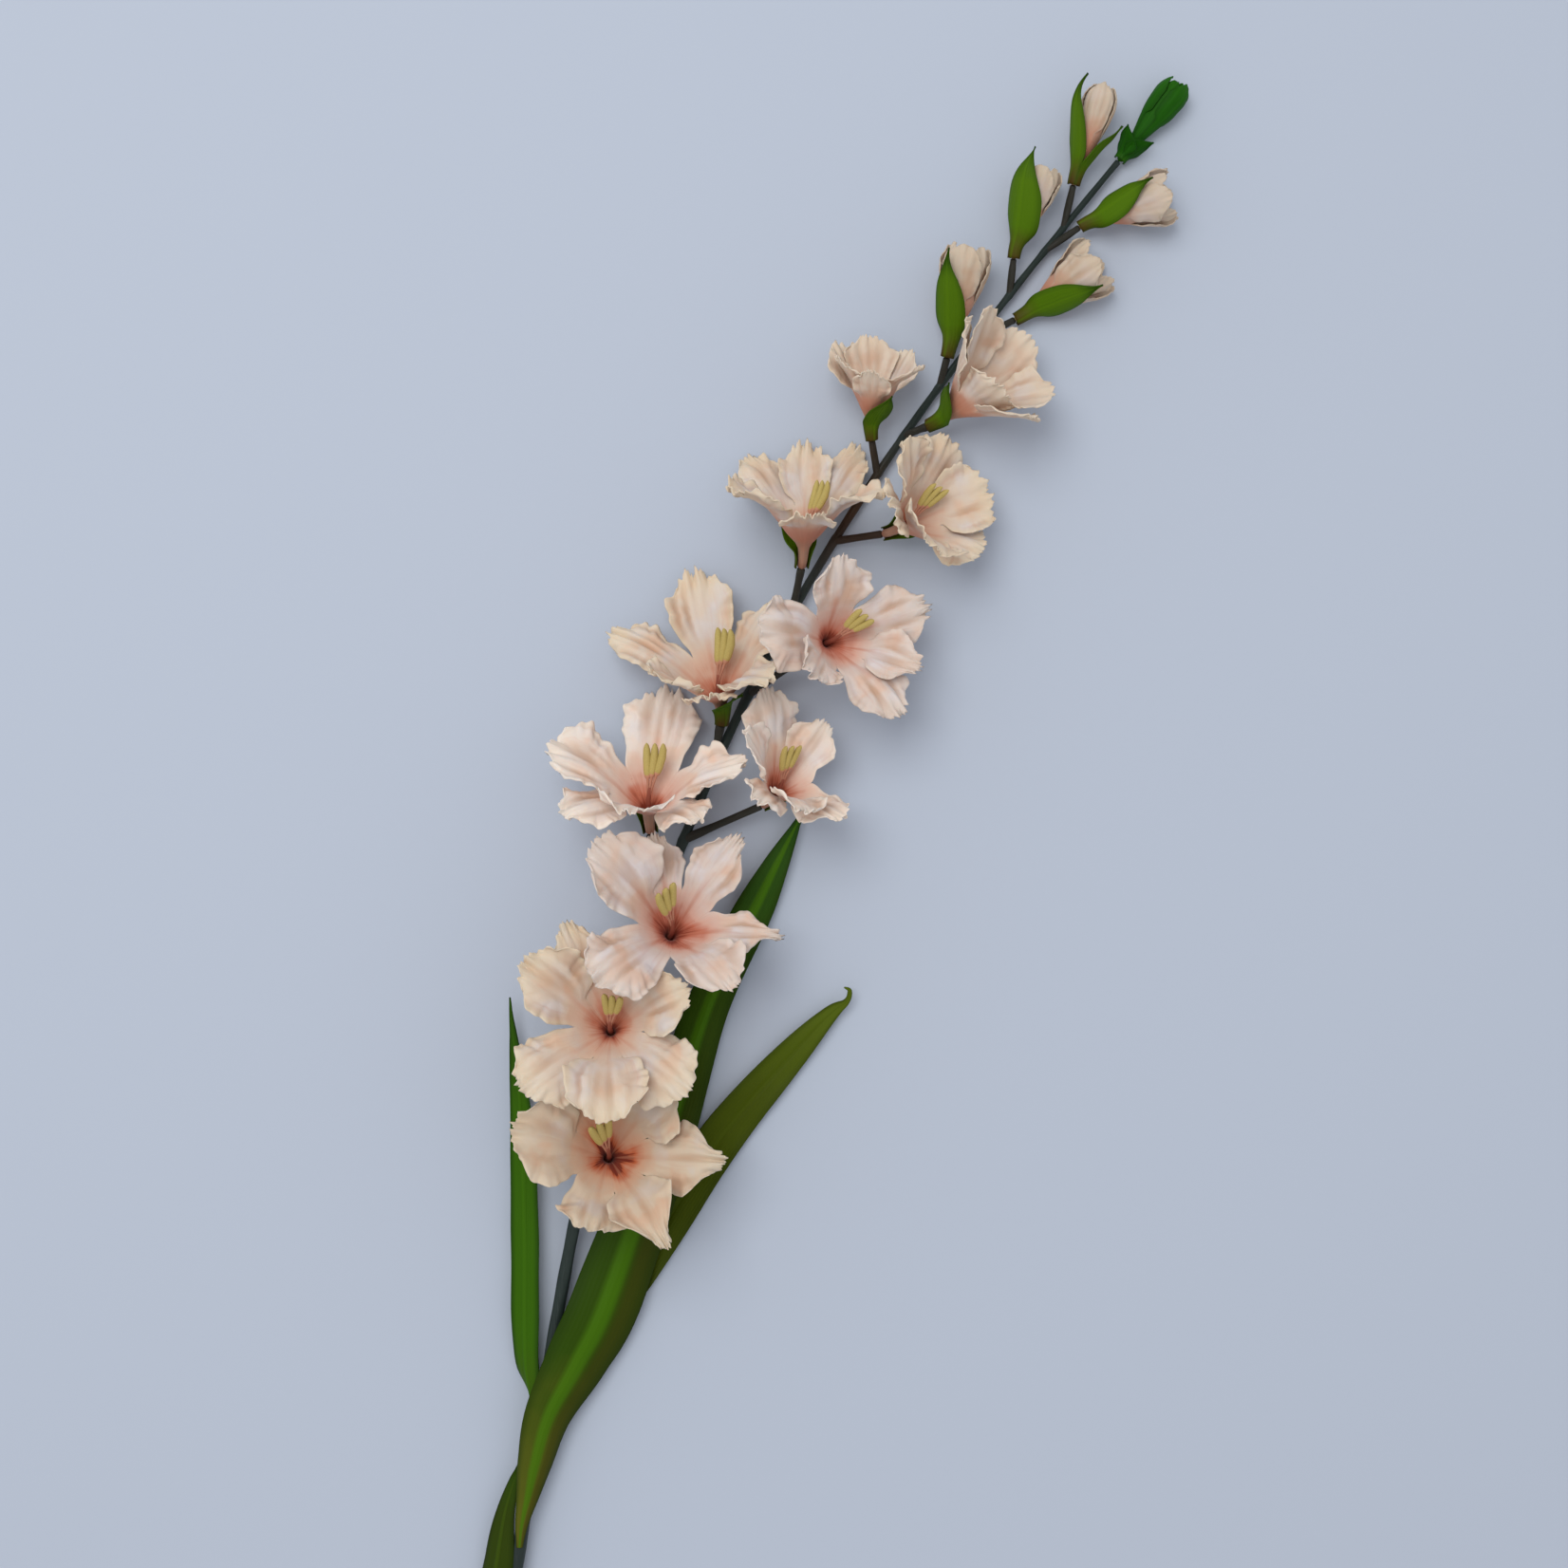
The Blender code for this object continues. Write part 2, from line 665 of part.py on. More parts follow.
def between(stations, place):
    """The values of a leaf's stations at this place, smoothly, where 1.5 is between 1 and 2."""
    i = min(int(place), len(stations) - 2)
    t = place - i
    near = [stations[min(max(k, 0), len(stations) - 1)] for k in range(i - 1, i + 3)]
    rows = [(s.along, s.right, s.height, s.facing, s.half_width, 1 / s.curl) for s in near]
    values = []
    for a, b, c, d in zip(*rows):
        bow = (2 * a - 5 * b + 4 * c - d) * t * t + (3 * b - a - 3 * c + d) * t * t * t
        values.append(0.5 * (2 * b + (c - a) * t + bow))
    return values


def build_leaf(name, stations, paint):
    """A sword leaf whose foot clasps the stem."""
    count = LEAF_ROWS_EACH * (len(stations) - 1)

    def middle(place):
        along, right, height = between(stations, place)[:3]
        return beside_stem(along, right, height)

    def place(across, row):
        at = row * (len(stations) - 1) / count
        along, right, height, facing, half, curl = between(stations, at)
        centre = beside_stem(along, right, height)
        ahead = middle(min(at + 0.1, len(stations) - 1)) - middle(max(at - 0.1, 0))
        level = ahead.cross(UP).normalized()
        lifted = level.cross(ahead).normalized()
        turn = math.radians(facing)
        outside = level * math.cos(turn) + lifted * math.sin(turn)
        sideways = level * math.sin(turn) - lifted * math.cos(turn)
        bend = across * max(half, 0.0) * curl
        point = centre + (sideways * math.sin(bend) - outside * (1 - math.cos(bend))) / curl * MM
        return off_surface(point, 1.0, LEAF_SOFTNESS)

    bm = bmesh.new()
    add_grid(bm, LEAF_COLUMNS, count, place)
    return blade_from(name, bm, paint)


def build_tepals(bloom, paint):
    """The six tepals of a bloom, grown together into a tube below the sinus."""
    seat = seat_of(bloom)
    bud = bloom.opened < BUD_OPENED
    shares = BUD_BLADE_ROWS if bud else BLADE_ROWS
    rows = TUBE_ROWS + tuple(SINUS + TEPAL_LENGTH * share for share in shares)
    bm = bmesh.new()
    for tepal in tepals_of(bloom):
        line = middle_line(bloom, tepal.lobe.spread)

        def place(across, row):
            point = seat.place(tepal_point(bloom, tepal, line, across, rows[row]))
            return off_surface(point, smooth(rows[row], SINUS, BENDS_UP_PAST))

        add_grid(bm, BUD_COLUMNS if bud else TEPAL_COLUMNS, len(rows) - 1, place)
    return blade_from(bloom.name, bm, paint)


def bract_width(share):
    """Half the width of a bract against its widest: full low down and drawn out to a point."""
    return mix(0.7, 1.0, smooth(share, 0.0, 0.35)) * (1 - smooth(share, 0.35, 1.0) ** 1.6)


def build_bract(name, bloom, bract, paint):
    """A cupped, pointed blade that clasps the bloom's base and lies along its outside."""
    seat = seat_of(bloom)
    line = middle_line(bloom, OUTER_SPREAD * bloom.opened)
    up = (UP - seat.mouth * UP.dot(seat.mouth)).normalized()
    right = seat.mouth.cross(up)
    reach = math.radians(BRACT_REACH if len(bloom.bracts) == 1 else PAIRED_BRACT_REACH)
    side = math.radians(bract.side)
    facing = right * math.cos(side) + up * math.sin(side)
    middle = math.atan2(facing.dot(seat.dorsal), facing.dot(seat.across))
    outward = Vector((math.cos(middle), math.sin(middle), 0.0))
    sideways = Vector((-outward.y, outward.x, 0.0))

    end = BRACT_FOOT + bract.length / bloom.size
    rows = [BRACT_FOOT, 0.5 * SINUS]
    rows += [mix(rows[1], end, i / (BRACT_ROWS - 2)) for i in range(1, BRACT_ROWS - 1)]

    def place(across, row):
        along = rows[row]
        share = (along - BRACT_FOOT) / (end - BRACT_FOOT)
        radius, height, slope = on_line(line, along)
        outside = (BRACT_OFFSET + (BRACT_FLARE + bract.flare) * share ** 2) / bloom.size
        half = bract.half_width / bloom.size * bract_width(share)
        wide = radius + outside * math.cos(slope)
        height -= outside * math.sin(slope)
        turn = middle + across * min(reach, half / wide)
        clasped = Vector((wide * math.cos(turn), wide * math.sin(turn), height))
        bend = across * half / BRACT_CUP
        free = outward * (wide - BRACT_CUP * (1 - math.cos(bend)) * math.cos(slope))
        free += sideways * BRACT_CUP * math.sin(bend) + UP * height
        return off_surface(seat.place(clasped.lerp(free, smooth(share, 0.1, 0.5))), share)

    bm = bmesh.new()
    add_grid(bm, BRACT_COLUMNS, len(rows) - 1, place)
    return blade_from(name, bm, paint)


# Stamens of size 1: the column in the tube, three filaments and their long anthers.
STAMEN_SIDES = 4
STAMEN_FORK = 19.0
COLUMN_TOP = 27.0
ANTHER_FOOT = 33.0
ANTHER_FULL = (37.0, 43.0)
STAMEN_TIP = 45.0
STAMEN_STAGGER = 1.0
STAMEN_LEAN = 11.0
STAMEN_SPREAD = 3.2
COLUMN_RADIUS = 1.3 * MM
COLUMN_TOP_RADIUS = 1.1 * MM
FILAMENT_RADIUS = 0.6 * MM
ANTHER_RADIUS = 1.5 * MM


def build_stamens(bloom, paint):
    """Three stamens on a column that fills the tube's end and leans to the upper tepals."""
    seat = seat_of(bloom)
    tube_radius, root, _ = on_line(middle_line(bloom), 0.5 * SINUS)

    def on_filament(side, height):
        share = smooth(height, root + 2, STAMEN_TIP)
        return seat.place(Vector((
            side * STAMEN_SPREAD * share, STAMEN_LEAN * share, height,
        )))

    def rings(side, heights, radii):
        points = [on_filament(side, height) for height in heights]
        made = []
        for i, point in enumerate(points):
            ahead = points[min(i + 1, len(points) - 1)] - points[max(i - 1, 0)]
            right = ahead.cross(seat.dorsal).normalized()
            made.append((point, right, right.cross(ahead).normalized(), radii[i]))
        return made

    root_radius = tube_radius * bloom.size * MM - BLADE / 2 - GAP
    column_radii = (root_radius, COLUMN_RADIUS, COLUMN_TOP_RADIUS)
    column = rings(0, (root, 0.5 * (root + COLUMN_TOP), COLUMN_TOP), column_radii)
    tubes = [(column, STAMEN_SIDES)]
    for side in (-1, 0, 1):
        anther = (ANTHER_FOOT, *ANTHER_FULL, STAMEN_TIP)
        heights = (STAMEN_FORK, *(height + side * STAMEN_STAGGER for height in anther))
        radii = (FILAMENT_RADIUS,) * 2 + (ANTHER_RADIUS * bloom.size,) * 2 + (FILAMENT_RADIUS,)
        tubes.append((rings(side, heights, radii), STAMEN_SIDES))
    return fused(bloom.name + "_stamens", tubes, paint)


def clear_scene():
    for item in list(bpy.data.objects):
        bpy.data.objects.remove(item)


def main():
    clear_scene()
    stem_green = material("stem_green", (0.03, 0.075, 0.055), 0.55)
    leaf_green = material("leaf_green", (0.045, 0.14, 0.008), 0.45)
    bract_green = material("bract_green", (0.09, 0.2, 0.015), 0.5)
    tip_green = material("tip_green", (0.01, 0.14, 0.008), 0.45)
    petal = material("petal", (0.85, 0.62, 0.5), 0.6)
    pollen = material("pollen", (0.5, 0.4, 0.12), 0.8)
    build_stem(FLORETS + BUDS, stem_green)
    for name, stations in LEAVES.items():
        build_leaf(name, stations, leaf_green)
    for bloom in FLORETS + BUDS + (TIP,):
        build_tepals(bloom, tip_green if bloom is TIP else petal)
        for i, bract in enumerate(bloom.bracts):
            build_bract("{}_bract_{}".format(bloom.name, i + 1), bloom, bract, bract_green)
    for bloom in FLORETS:
        if bloom.stamens:
            build_stamens(bloom, pollen)


if __name__ == "__main__":
    main()
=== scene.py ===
"""Looks of a cut gladiolus stem that lies on a pale surface.

Metres, +Z up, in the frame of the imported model: the stem runs along +Y from its cut end to its
green tip, and the mouths of the florets face up. The photographed one is a silk flower, so its
tepals are printed cloth and its green parts moulded vinyl.
"""

import logging
import math
import random
from dataclasses import dataclass, replace
from enum import Enum
from functools import cached_property
from typing import Callable, Sequence

import bmesh
import bpy
from bpy.types import ColorRamp, Material, Node, NodeSocket, Object
from mathutils import Matrix, Vector, noise


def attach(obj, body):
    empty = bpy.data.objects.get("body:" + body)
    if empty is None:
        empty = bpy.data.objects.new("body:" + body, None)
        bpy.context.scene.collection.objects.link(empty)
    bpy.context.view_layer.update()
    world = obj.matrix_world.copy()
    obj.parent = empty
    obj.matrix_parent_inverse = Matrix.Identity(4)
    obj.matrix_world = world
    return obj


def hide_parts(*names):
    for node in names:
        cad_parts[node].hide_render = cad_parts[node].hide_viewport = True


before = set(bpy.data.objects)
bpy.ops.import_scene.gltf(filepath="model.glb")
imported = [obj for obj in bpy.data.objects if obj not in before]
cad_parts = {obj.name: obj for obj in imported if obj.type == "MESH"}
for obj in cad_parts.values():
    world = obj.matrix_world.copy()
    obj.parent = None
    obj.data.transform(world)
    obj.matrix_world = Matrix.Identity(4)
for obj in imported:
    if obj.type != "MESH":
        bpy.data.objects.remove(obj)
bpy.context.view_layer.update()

LOG = logging.getLogger("gladiolus")

MM = 0.001
# Points this close are one: on a tube's seam, and between the parts of a piece.
SEAM_GAP = 0.005 * MM
MERGE_GAP = 0.01 * MM
UP = Vector((0.0, 0.0, 1.0))
BODY = "root"
BLADE_LAYER = "blade"

# What a grid asks for at (place across, place along): a point, and what the layer holds there.
Place = Callable[[float, float], Vector]
Mark = Callable[[float, float], Sequence[float]]
# Two numbers, mostly a range's ends, and a node's range with what it gives at both ends.
Pair = tuple[float, float]
Triple = tuple[float, float, float]
Reach = tuple[float, float, float, float]
# What feeds a node's input: an output, or a node for its first one.
Source = NodeSocket | Node


def smooth(value: float, low: float = 0.0, high: float = 1.0) -> float:
    """0 below low, 1 above high and an even S between them."""
    t = min(1.0, max(0.0, (value - low) / (high - low)))
    return t * t * (3 - 2 * t)


def mix(a: float, b: float, share: float) -> float:
    """The value this share of the way from a to b."""
    return a + (b - a) * share


def linear(colour: str) -> tuple[float, float, float, float]:
    """A hex sRGB colour as the linear values that shaders take.

    Args:
        colour: six hex digits after a #.

    Returns:
        Red, green, blue and an alpha of 1.
    """
    parts = [int(colour[i:i + 2], 16) / 255 for i in (1, 3, 5)]
    lit = [c / 12.92 if c <= 0.04045 else ((c + 0.055) / 1.055) ** 2.4 for c in parts]
    return (*lit, 1.0)


# The colour inputs and the colour output of Blender's Mix node.
MIX_A = 6
MIX_B = 7
MIX_OUT = 2
MULTIPLY = {"operation": "MULTIPLY"}


@dataclass
class Shader:
    """A material that is being made and the nodes in it."""

    name: str

    def __post_init__(self) -> None:
        """Starts the material with its surface shader alone."""
        self.material = bpy.data.materials.new(self.name)
        self.material.use_nodes = True
        self.tree = self.material.node_tree
        self.surface = self.tree.nodes["Principled BSDF"]

    def add(self, kind: str, settings: dict | None = None, links: dict | None = None) -> Node:
        """Adds a node.

        Args:
            kind: the node's type, without the ShaderNode that Blender puts before it.
            settings: values for its properties, or for its inputs by name or number.
            links: the sources for its inputs, by name or number.

        Returns:
            The new node.
        """
        node = self.tree.nodes.new("ShaderNode" + kind)
        for key, value in (settings or {}).items():
            if isinstance(key, str) and hasattr(node, key):
                setattr(node, key, value)
            else:
                node.inputs[key].default_value = value
        self.link(node, links or {})
        return node

    def link(self, node: Node, links: dict) -> None:
        """Feeds a node's inputs.

        Args:
            node: the node.
            links: the sources for its inputs, by name or number.
        """
        for key, source in links.items():
            output = source.outputs[0] if isinstance(source, Node) else source
            self.tree.links.new(output, node.inputs[key])

    def sources(self) -> tuple[NodeSocket, ...]:
        """Adds the nodes that a finish reads.

        Returns:
            The mesh's layer, the three numbers in it and the place in metres.
        """
        layer = self.add("Attribute", {"attribute_name": BLADE_LAYER}).outputs["Vector"]
        numbers = self.add("SeparateXYZ", links={0: layer}).outputs
        return layer, *numbers, self.add("TexCoord").outputs["Object"]

    def paint(self, colour: Source | str, layers: Sequence[tuple]) -> NodeSocket:
        """Lays colours over one another. Each is a hex colour or its source.

        Args:
            colour: the lowest one.
            layers: (reach, source, part, shade) of each. Its share is source, over the range that
                reach sets unless that is None, times part unless that is None. shade is its colour.

        Returns:
            The colour that they make.
        """
        for reach, source, part, shade in layers:
            share = self.add("MapRange", reach, {"Value": source}) if reach else source
            if part:
                share = self.add("Math", MULTIPLY, {0: share, 1: part})
            colours = {MIX_A: colour, MIX_B: shade}
            plain = {key: linear(value) for key, value in colours.items() if isinstance(value, str)}
            given = {key: value for key, value in colours.items() if key not in plain}
            mixed = self.add("Mix", {"data_type": "RGBA", **plain}, {0: share, **given})
            colour = mixed.outputs[MIX_OUT]
        return colour

    def dress(self, settings: dict, links: dict) -> Material:
        """Finishes the material.

        Args:
            settings: values for the surface shader's inputs.
            links: the sources for its inputs.

        Returns:
            The material.
        """
        for key, value in settings.items():
            self.surface.inputs[key].default_value = value
        self.link(self.surface, links)
        return self.material


def span(low: float, high: float, start: float = 0.0, end: float = 1.0) -> dict:
    """Settings of a node that goes straight from start at low to end at high."""
    return {"From Min": low, "From Max": high, "To Min": start, "To Max": end}


def soft_span(low: float, high: float, start: float = 0.0, end: float = 1.0) -> dict:
    """Settings of a node that goes along an S from start at low to end at high."""
    return {"interpolation_type": "SMOOTHSTEP", **span(low, high, start, end)}


def scaled(scale: float, offset: float = 0.0) -> dict:
    """Settings of a node that multiplies by scale and adds offset, or what is linked for it."""
    return {"operation": "MULTIPLY_ADD", 1: scale, 2: offset}


def set_stops(ramp: ColorRamp, stops: Sequence[tuple[float, str]]) -> None:
    """Sets the colours of a ramp.

    Args:
        ramp: the ramp.
        stops: (place, hex colour) of each.
    """
    while len(ramp.elements) < len(stops):
        ramp.elements.new(1.0)
    for element, (at, colour) in zip(ramp.elements, stops):
        element.position = at
        element.color = linear(colour)


@dataclass(frozen=True)
class PetalCloth:
    """Silk-flower cloth: thin woven polyester, dip-dyed from the throat out and heat-pressed.

    The dye is deep in the throat and fades to a cream blade with warmer and cooler patches, streaks
    that run along the blade, and a paler rim, and the furrows of its folds carry painted shade. It is
    matt with a faint sheen. Ranges across go from 0 at the midline to 1 at an edge, and ranges along
    from 0 at the base to 1 at the tip.
    """

    name: str
    foot: str
    throat: str
    funnel: str
    sinus: str
    body: str
    rim: str
    rib: str
    warm: str
    cool: str
    foot_end: float = 0.12
    throat_end: float = 0.23
    funnel_at: float = 0.3
    sinus_at: float = 0.4
    body_at: float = 0.56
    # The dye's line wanders with the patches and the streaks.
    patch_drift: Pair = (0.3, -0.21)
    streak_drift: float = 0.12
    # Noise for the streaks: repeats across and along, and metres to noise so that blooms differ.
    streak_repeats: Triple = (7.0, 2.2, 0.0)
    streak_shift: Triple = (18.0, 18.0, 25.0)
    streak: Reach = (0.52, 0.75, 0.0, 0.22)
    blade_along: Pair = (0.45, 0.62)
    cool_patch: Reach = (0.5, 0.66, 0.0, 0.8)
    warm_patch: Reach = (0.5, 0.34, 0.0, 0.8)
    rib_across: Reach = (0.02, 0.24, 1.0, 0.0)
    rib_along: Pair = (0.36, 0.72)
    rib_strength: float = 0.45
    rim_reach: Reach = (0.74, 0.98, 0.0, 0.75)
    # Painted shade: the furrows of the folds are painted towards this darker colour, more deeply the
    # deeper they are.
    fold: str = "#B48E70"
    fold_shade_heights: Pair = (0.05, -0.45)
    fold_shade_side: float = 1.0
    fold_shade_strength: float = 0.62
    patch_size: float = 15 * MM
    weave_size: float = 1.4 * MM
    weave_height: float = 0.16 * MM

    def outside(self) -> "PetalCloth":
        """The cloth's other side, where the dye of the throat shows through as coral.

        Returns:
            The cloth as its back looks.
        """
        return replace(
            self, name=self.name + "_outside", throat="#A8806A", throat_end=0.2, funnel="#C07C60",
            sinus="#C98E74", funnel_at=0.34, sinus_at=0.48, body_at=0.7, rib_strength=0.3,
            fold_shade_side=-1.0,
        )

    def material(self) -> Material:
        """Makes the cloth's material, which reads (across, along, height of the fold).

        Returns:
            The material.
        """
        made = Shader(self.name)
        layer, across, along, fold, space = made.sources()
        sideways = made.add("Math", {"operation": "ABSOLUTE"}, {0: across})
        shift = made.add("VectorMath", {**MULTIPLY, 1: self.streak_shift}, {0: space})
        stretched = made.add(
            "VectorMath", {"operation": "MULTIPLY_ADD", 1: self.streak_repeats}, {0: layer, 2: shift},
        )
        streaks = made.add("TexNoise", {"Scale": 1.0, "Detail": 3.0}, {"Vector": stretched})
        patches = made.add("TexNoise", {"Scale": 1 / self.patch_size, "Detail": 2.0}, {"Vector": space})
        drift = made.add("Math", scaled(*self.patch_drift), {0: patches})
        wander = made.add("Math", scaled(self.streak_drift), {0: streaks, 2: drift})
        place = made.add("Math", {"operation": "ADD"}, {0: along, 1: wander})
        dye = made.add("ValToRGB", links={"Fac": place})
        set_stops(dye.color_ramp, (
            (0.0, self.foot), (self.foot_end, self.throat), (self.throat_end, self.throat),
            (self.funnel_at, self.funnel), (self.sinus_at, self.sinus), (self.body_at, self.body),
            (1.0, self.body),
        ))

        blade = made.add("MapRange", span(*self.blade_along), {"Value": along})
        rib_fade = made.add("MapRange", span(*self.rib_along, self.rib_strength, 0.0), {"Value": place})
        edge = made.add("Math", {"operation": "MAXIMUM"}, {0: sideways, 1: along})
        low, high = (self.fold_shade_side * height for height in self.fold_shade_heights)
        colour = made.paint(dye, (
            (soft_span(*self.cool_patch), patches, blade, self.cool),
            (soft_span(*self.warm_patch), patches, blade, self.warm),
            (span(*self.streak), streaks, None, self.rib),
            # Painted shade in the furrows of the folds, as seen from this side of the cloth.
            (span(low, high, 0.0, self.fold_shade_strength), fold, None, self.fold),
            (soft_span(*self.rib_across), sideways, rib_fade, self.rib),
            (soft_span(*self.rim_reach), edge, blade, self.rim),
        ))

        weave = made.add("TexNoise", {"Scale": 1 / self.weave_size, "Detail": 4.0}, {"Vector": space})
        bump = made.add("Bump", {"Strength": 0.5, "Distance": self.weave_height}, {"Height": weave})
        return made.dress(
            {
                "Roughness": 0.75, "Specular IOR Level": 0.2, "Sheen Weight": 0.08,
                "Sheen Roughness": 0.5, "Subsurface Weight": 0.12, "Subsurface Scale": 2 * MM,
                "Subsurface Radius": (1.0, 0.55, 0.4),
            },
            {"Base Color": colour, "Normal": bump},
        )


@dataclass(frozen=True)
class LeafVinyl:
    """Moulded soft vinyl leaf: satin, with pressed parallel veins and a lighter midrib.

    Colours shift from the base to the tip, the edges are darker, and the base can be tinged brown
    as a real sheath is. The right half can carry painted shade, a darker brown-olive that fades
    towards the tip.
    """

    name: str
    base: str
    blade: str
    tip: str
    rib: str
    edge: str
    base_end: float = 0.3
    tip_start: float = 0.75
    drift: Pair = (0.2, -0.1)
    rib_width: float = 0.16
    rib_core: float = 0.3
    rib_strength: float = 0.8
    # Painted shade on the right half, the side turned away from the lamp, in a darker brown-olive.
    right: str = "#3A3606"
    right_shade_reach: Pair = (0.15, 0.5)
    right_shade_along: Pair = (0.75, 0.45)
    right_shade_strength: float = 0.0
    edge_reach: Reach = (0.55, 1.0, 0.0, 0.6)
    vein_count: float = 8.0
    vein_height: float = 0.05 * MM
    grain_size: float = 1.2 * MM
    grain_share: float = 0.3
    cloud_size: float = 30 * MM
    roughness: Pair = (0.44, 0.6)

    def material(self) -> Material:
        """Makes the leaf's material, which reads (distance from the midrib, along, place across).

        Returns:
            The material.
        """
        made = Shader(self.name)
        _, outwards, along, across, space = made.sources()
        sideways = made.add("Math", {"operation": "ABSOLUTE"}, {0: outwards})
        cloud = made.add("TexNoise", {"Scale": 1 / self.cloud_size, "Detail": 3.0}, {"Vector": space})
        drift = made.add("Math", scaled(*self.drift), {0: cloud})
        place = made.add("Math", {"operation": "ADD"}, {0: along, 1: drift})
        dye = made.add("ValToRGB", links={"Fac": place})
        set_stops(dye.color_ramp, (
            (0.0, self.base), (self.base_end, self.blade), (self.tip_start, self.blade), (1.0, self.tip),
        ))
        low_down = made.add("MapRange", span(*self.right_shade_along), {"Value": along})
        core = self.rib_core * self.rib_width
        rib_reach = soft_span(core, self.rib_width, self.rib_strength, 0.0)
        colour = made.paint(dye, (
            (rib_reach, sideways, None, self.rib),
            # Painted shade over the right half, fading towards the tip.
            (soft_span(*self.right_shade_reach, 0.0, self.right_shade_strength), across, low_down, self.right),
            (soft_span(*self.edge_reach), sideways, None, self.edge),
        ))

        turns = made.add("Math", {**MULTIPLY, 1: math.tau * self.vein_count}, {0: sideways})
        vein = made.add("Math", {"operation": "COSINE"}, {0: turns})
        grain = made.add("TexNoise", {"Scale": 1 / self.grain_size, "Detail": 3.0}, {"Vector": space})
        relief = made.add("Math", scaled(self.grain_share), {0: grain, 2: vein})
        bump = made.add("Bump", {"Strength": 0.6, "Distance": self.vein_height}, {"Height": relief})
        gloss = made.add("MapRange", span(0.0, 1.0, *self.roughness), {"Value": cloud})
        return made.dress(
            {"Specular IOR Level": 0.08}, {"Base Color": colour, "Roughness": gloss, "Normal": bump},
        )


@dataclass(frozen=True)
class StemPlastic:
    """Extruded polyethylene over wire: dark slate green, satin, with faint lengthwise ridges."""

    name: str = "stem_plastic"
    body: str = "#29352F"
    shade: str = "#1A2522"
    bark: str = "#3A2410"
    patch_size: float = 7 * MM
    ridges: int = 6
    ridge_height: float = 0.15 * MM

    def material(self) -> Material:
        """Makes the stem's material, which reads (turn, place along, how brown it is).

        Returns:
            The material.
        """
        made = Shader(self.name)
        _, turn, _, brown, space = made.sources()
        patches = made.add("TexNoise", {"Scale": 1 / self.patch_size, "Detail": 4.0}, {"Vector": space})
        colour = made.paint(
            self.body, ((None, patches, None, self.shade), (None, brown, None, self.bark)),
        )
        turns = made.add("Math", {**MULTIPLY, 1: math.tau * self.ridges}, {0: turn})
        ridge = made.add("Math", {"operation": "COSINE"}, {0: turns})
        bump = made.add("Bump", {"Strength": 0.4, "Distance": self.ridge_height}, {"Height": ridge})
        return made.dress(
            {"Roughness": 0.5, "Specular IOR Level": 0.3}, {"Base Color": colour, "Normal": bump},
        )


@dataclass(frozen=True)
class StamenFlock:
    """Moulded filaments of cream plastic whose anthers are dusted with matt olive-yellow flock."""

    name: str = "stamen_flock"
    column: str = "#7C3020"
    filament: str = "#CC957A"
    anther: str = "#D0BE74"
    dark: str = "#AC9850"
    pale_from: Pair = (0.0, 0.4)
    anther_from: Pair = (0.45, 0.55)
    grit_size: float = 0.5 * MM
    grit_height: float = 0.2 * MM

    def material(self) -> Material:
        """Makes the stamens' material, whose colour changes where the anther begins.

        Returns:
            The material.
        """
        made = Shader(self.name)
        _, _, along, _, space = made.sources()
        grit = made.add("TexNoise", {"Scale": 1 / self.grit_size, "Detail": 3.0}, {"Vector": space})
        dust = made.paint(self.anther, ((None, grit, None, self.dark),))
        colour = made.paint(self.column, (
            (span(*self.pale_from), along, None, self.filament),
            (span(*self.anther_from), along, None, dust),
        ))
        bump = made.add("Bump", {"Strength": 0.5, "Distance": self.grit_height}, {"Height": grit})
        return made.dress({"Roughness": 0.8, "IOR": 1.45}, {"Base Color": colour, "Normal": bump})


LEAF = LeafVinyl(
    "leaf_vinyl", base="#3E5606", blade="#345E00", tip="#2A4A0A", rib="#3C6804", edge="#0E2C02",
    rib_strength=0.5,
)
OLIVE_LEAF = LeafVinyl(
    "leaf_vinyl_olive", base="#323C06", blade="#404C00", tip="#546410", rib="#465404", edge="#323E02",
    rib_strength=0.4,
)
# The wide light band along the midrib is partly the midrib's own colour and partly a painted highlight
# on the lit ridge; the right half carries painted shade.
TALL_LEAF = LeafVinyl(
    "leaf_vinyl_tall", base="#5C5C16", blade="#2C4600", tip="#264C0E", rib="#426C04", edge="#1E3200",
    rib_width=0.36, base_end=0.24, right_shade_strength=0.6,
)
SHEATH = LeafVinyl(
    "leaf_vinyl_sheath", base="#2A3402", blade="#2E3E02", tip="#2C4804", rib="#384C04", edge="#1E2A02",
)
BRACT_VINYL = LeafVinyl(
    "bract_vinyl", base="#4A3814", blade="#4C6E06", tip="#305008", rib="#567A08", edge="#324E06",
    base_end=0.32, vein_count=5.0, rib_strength=0.35, cloud_size=14 * MM,
)


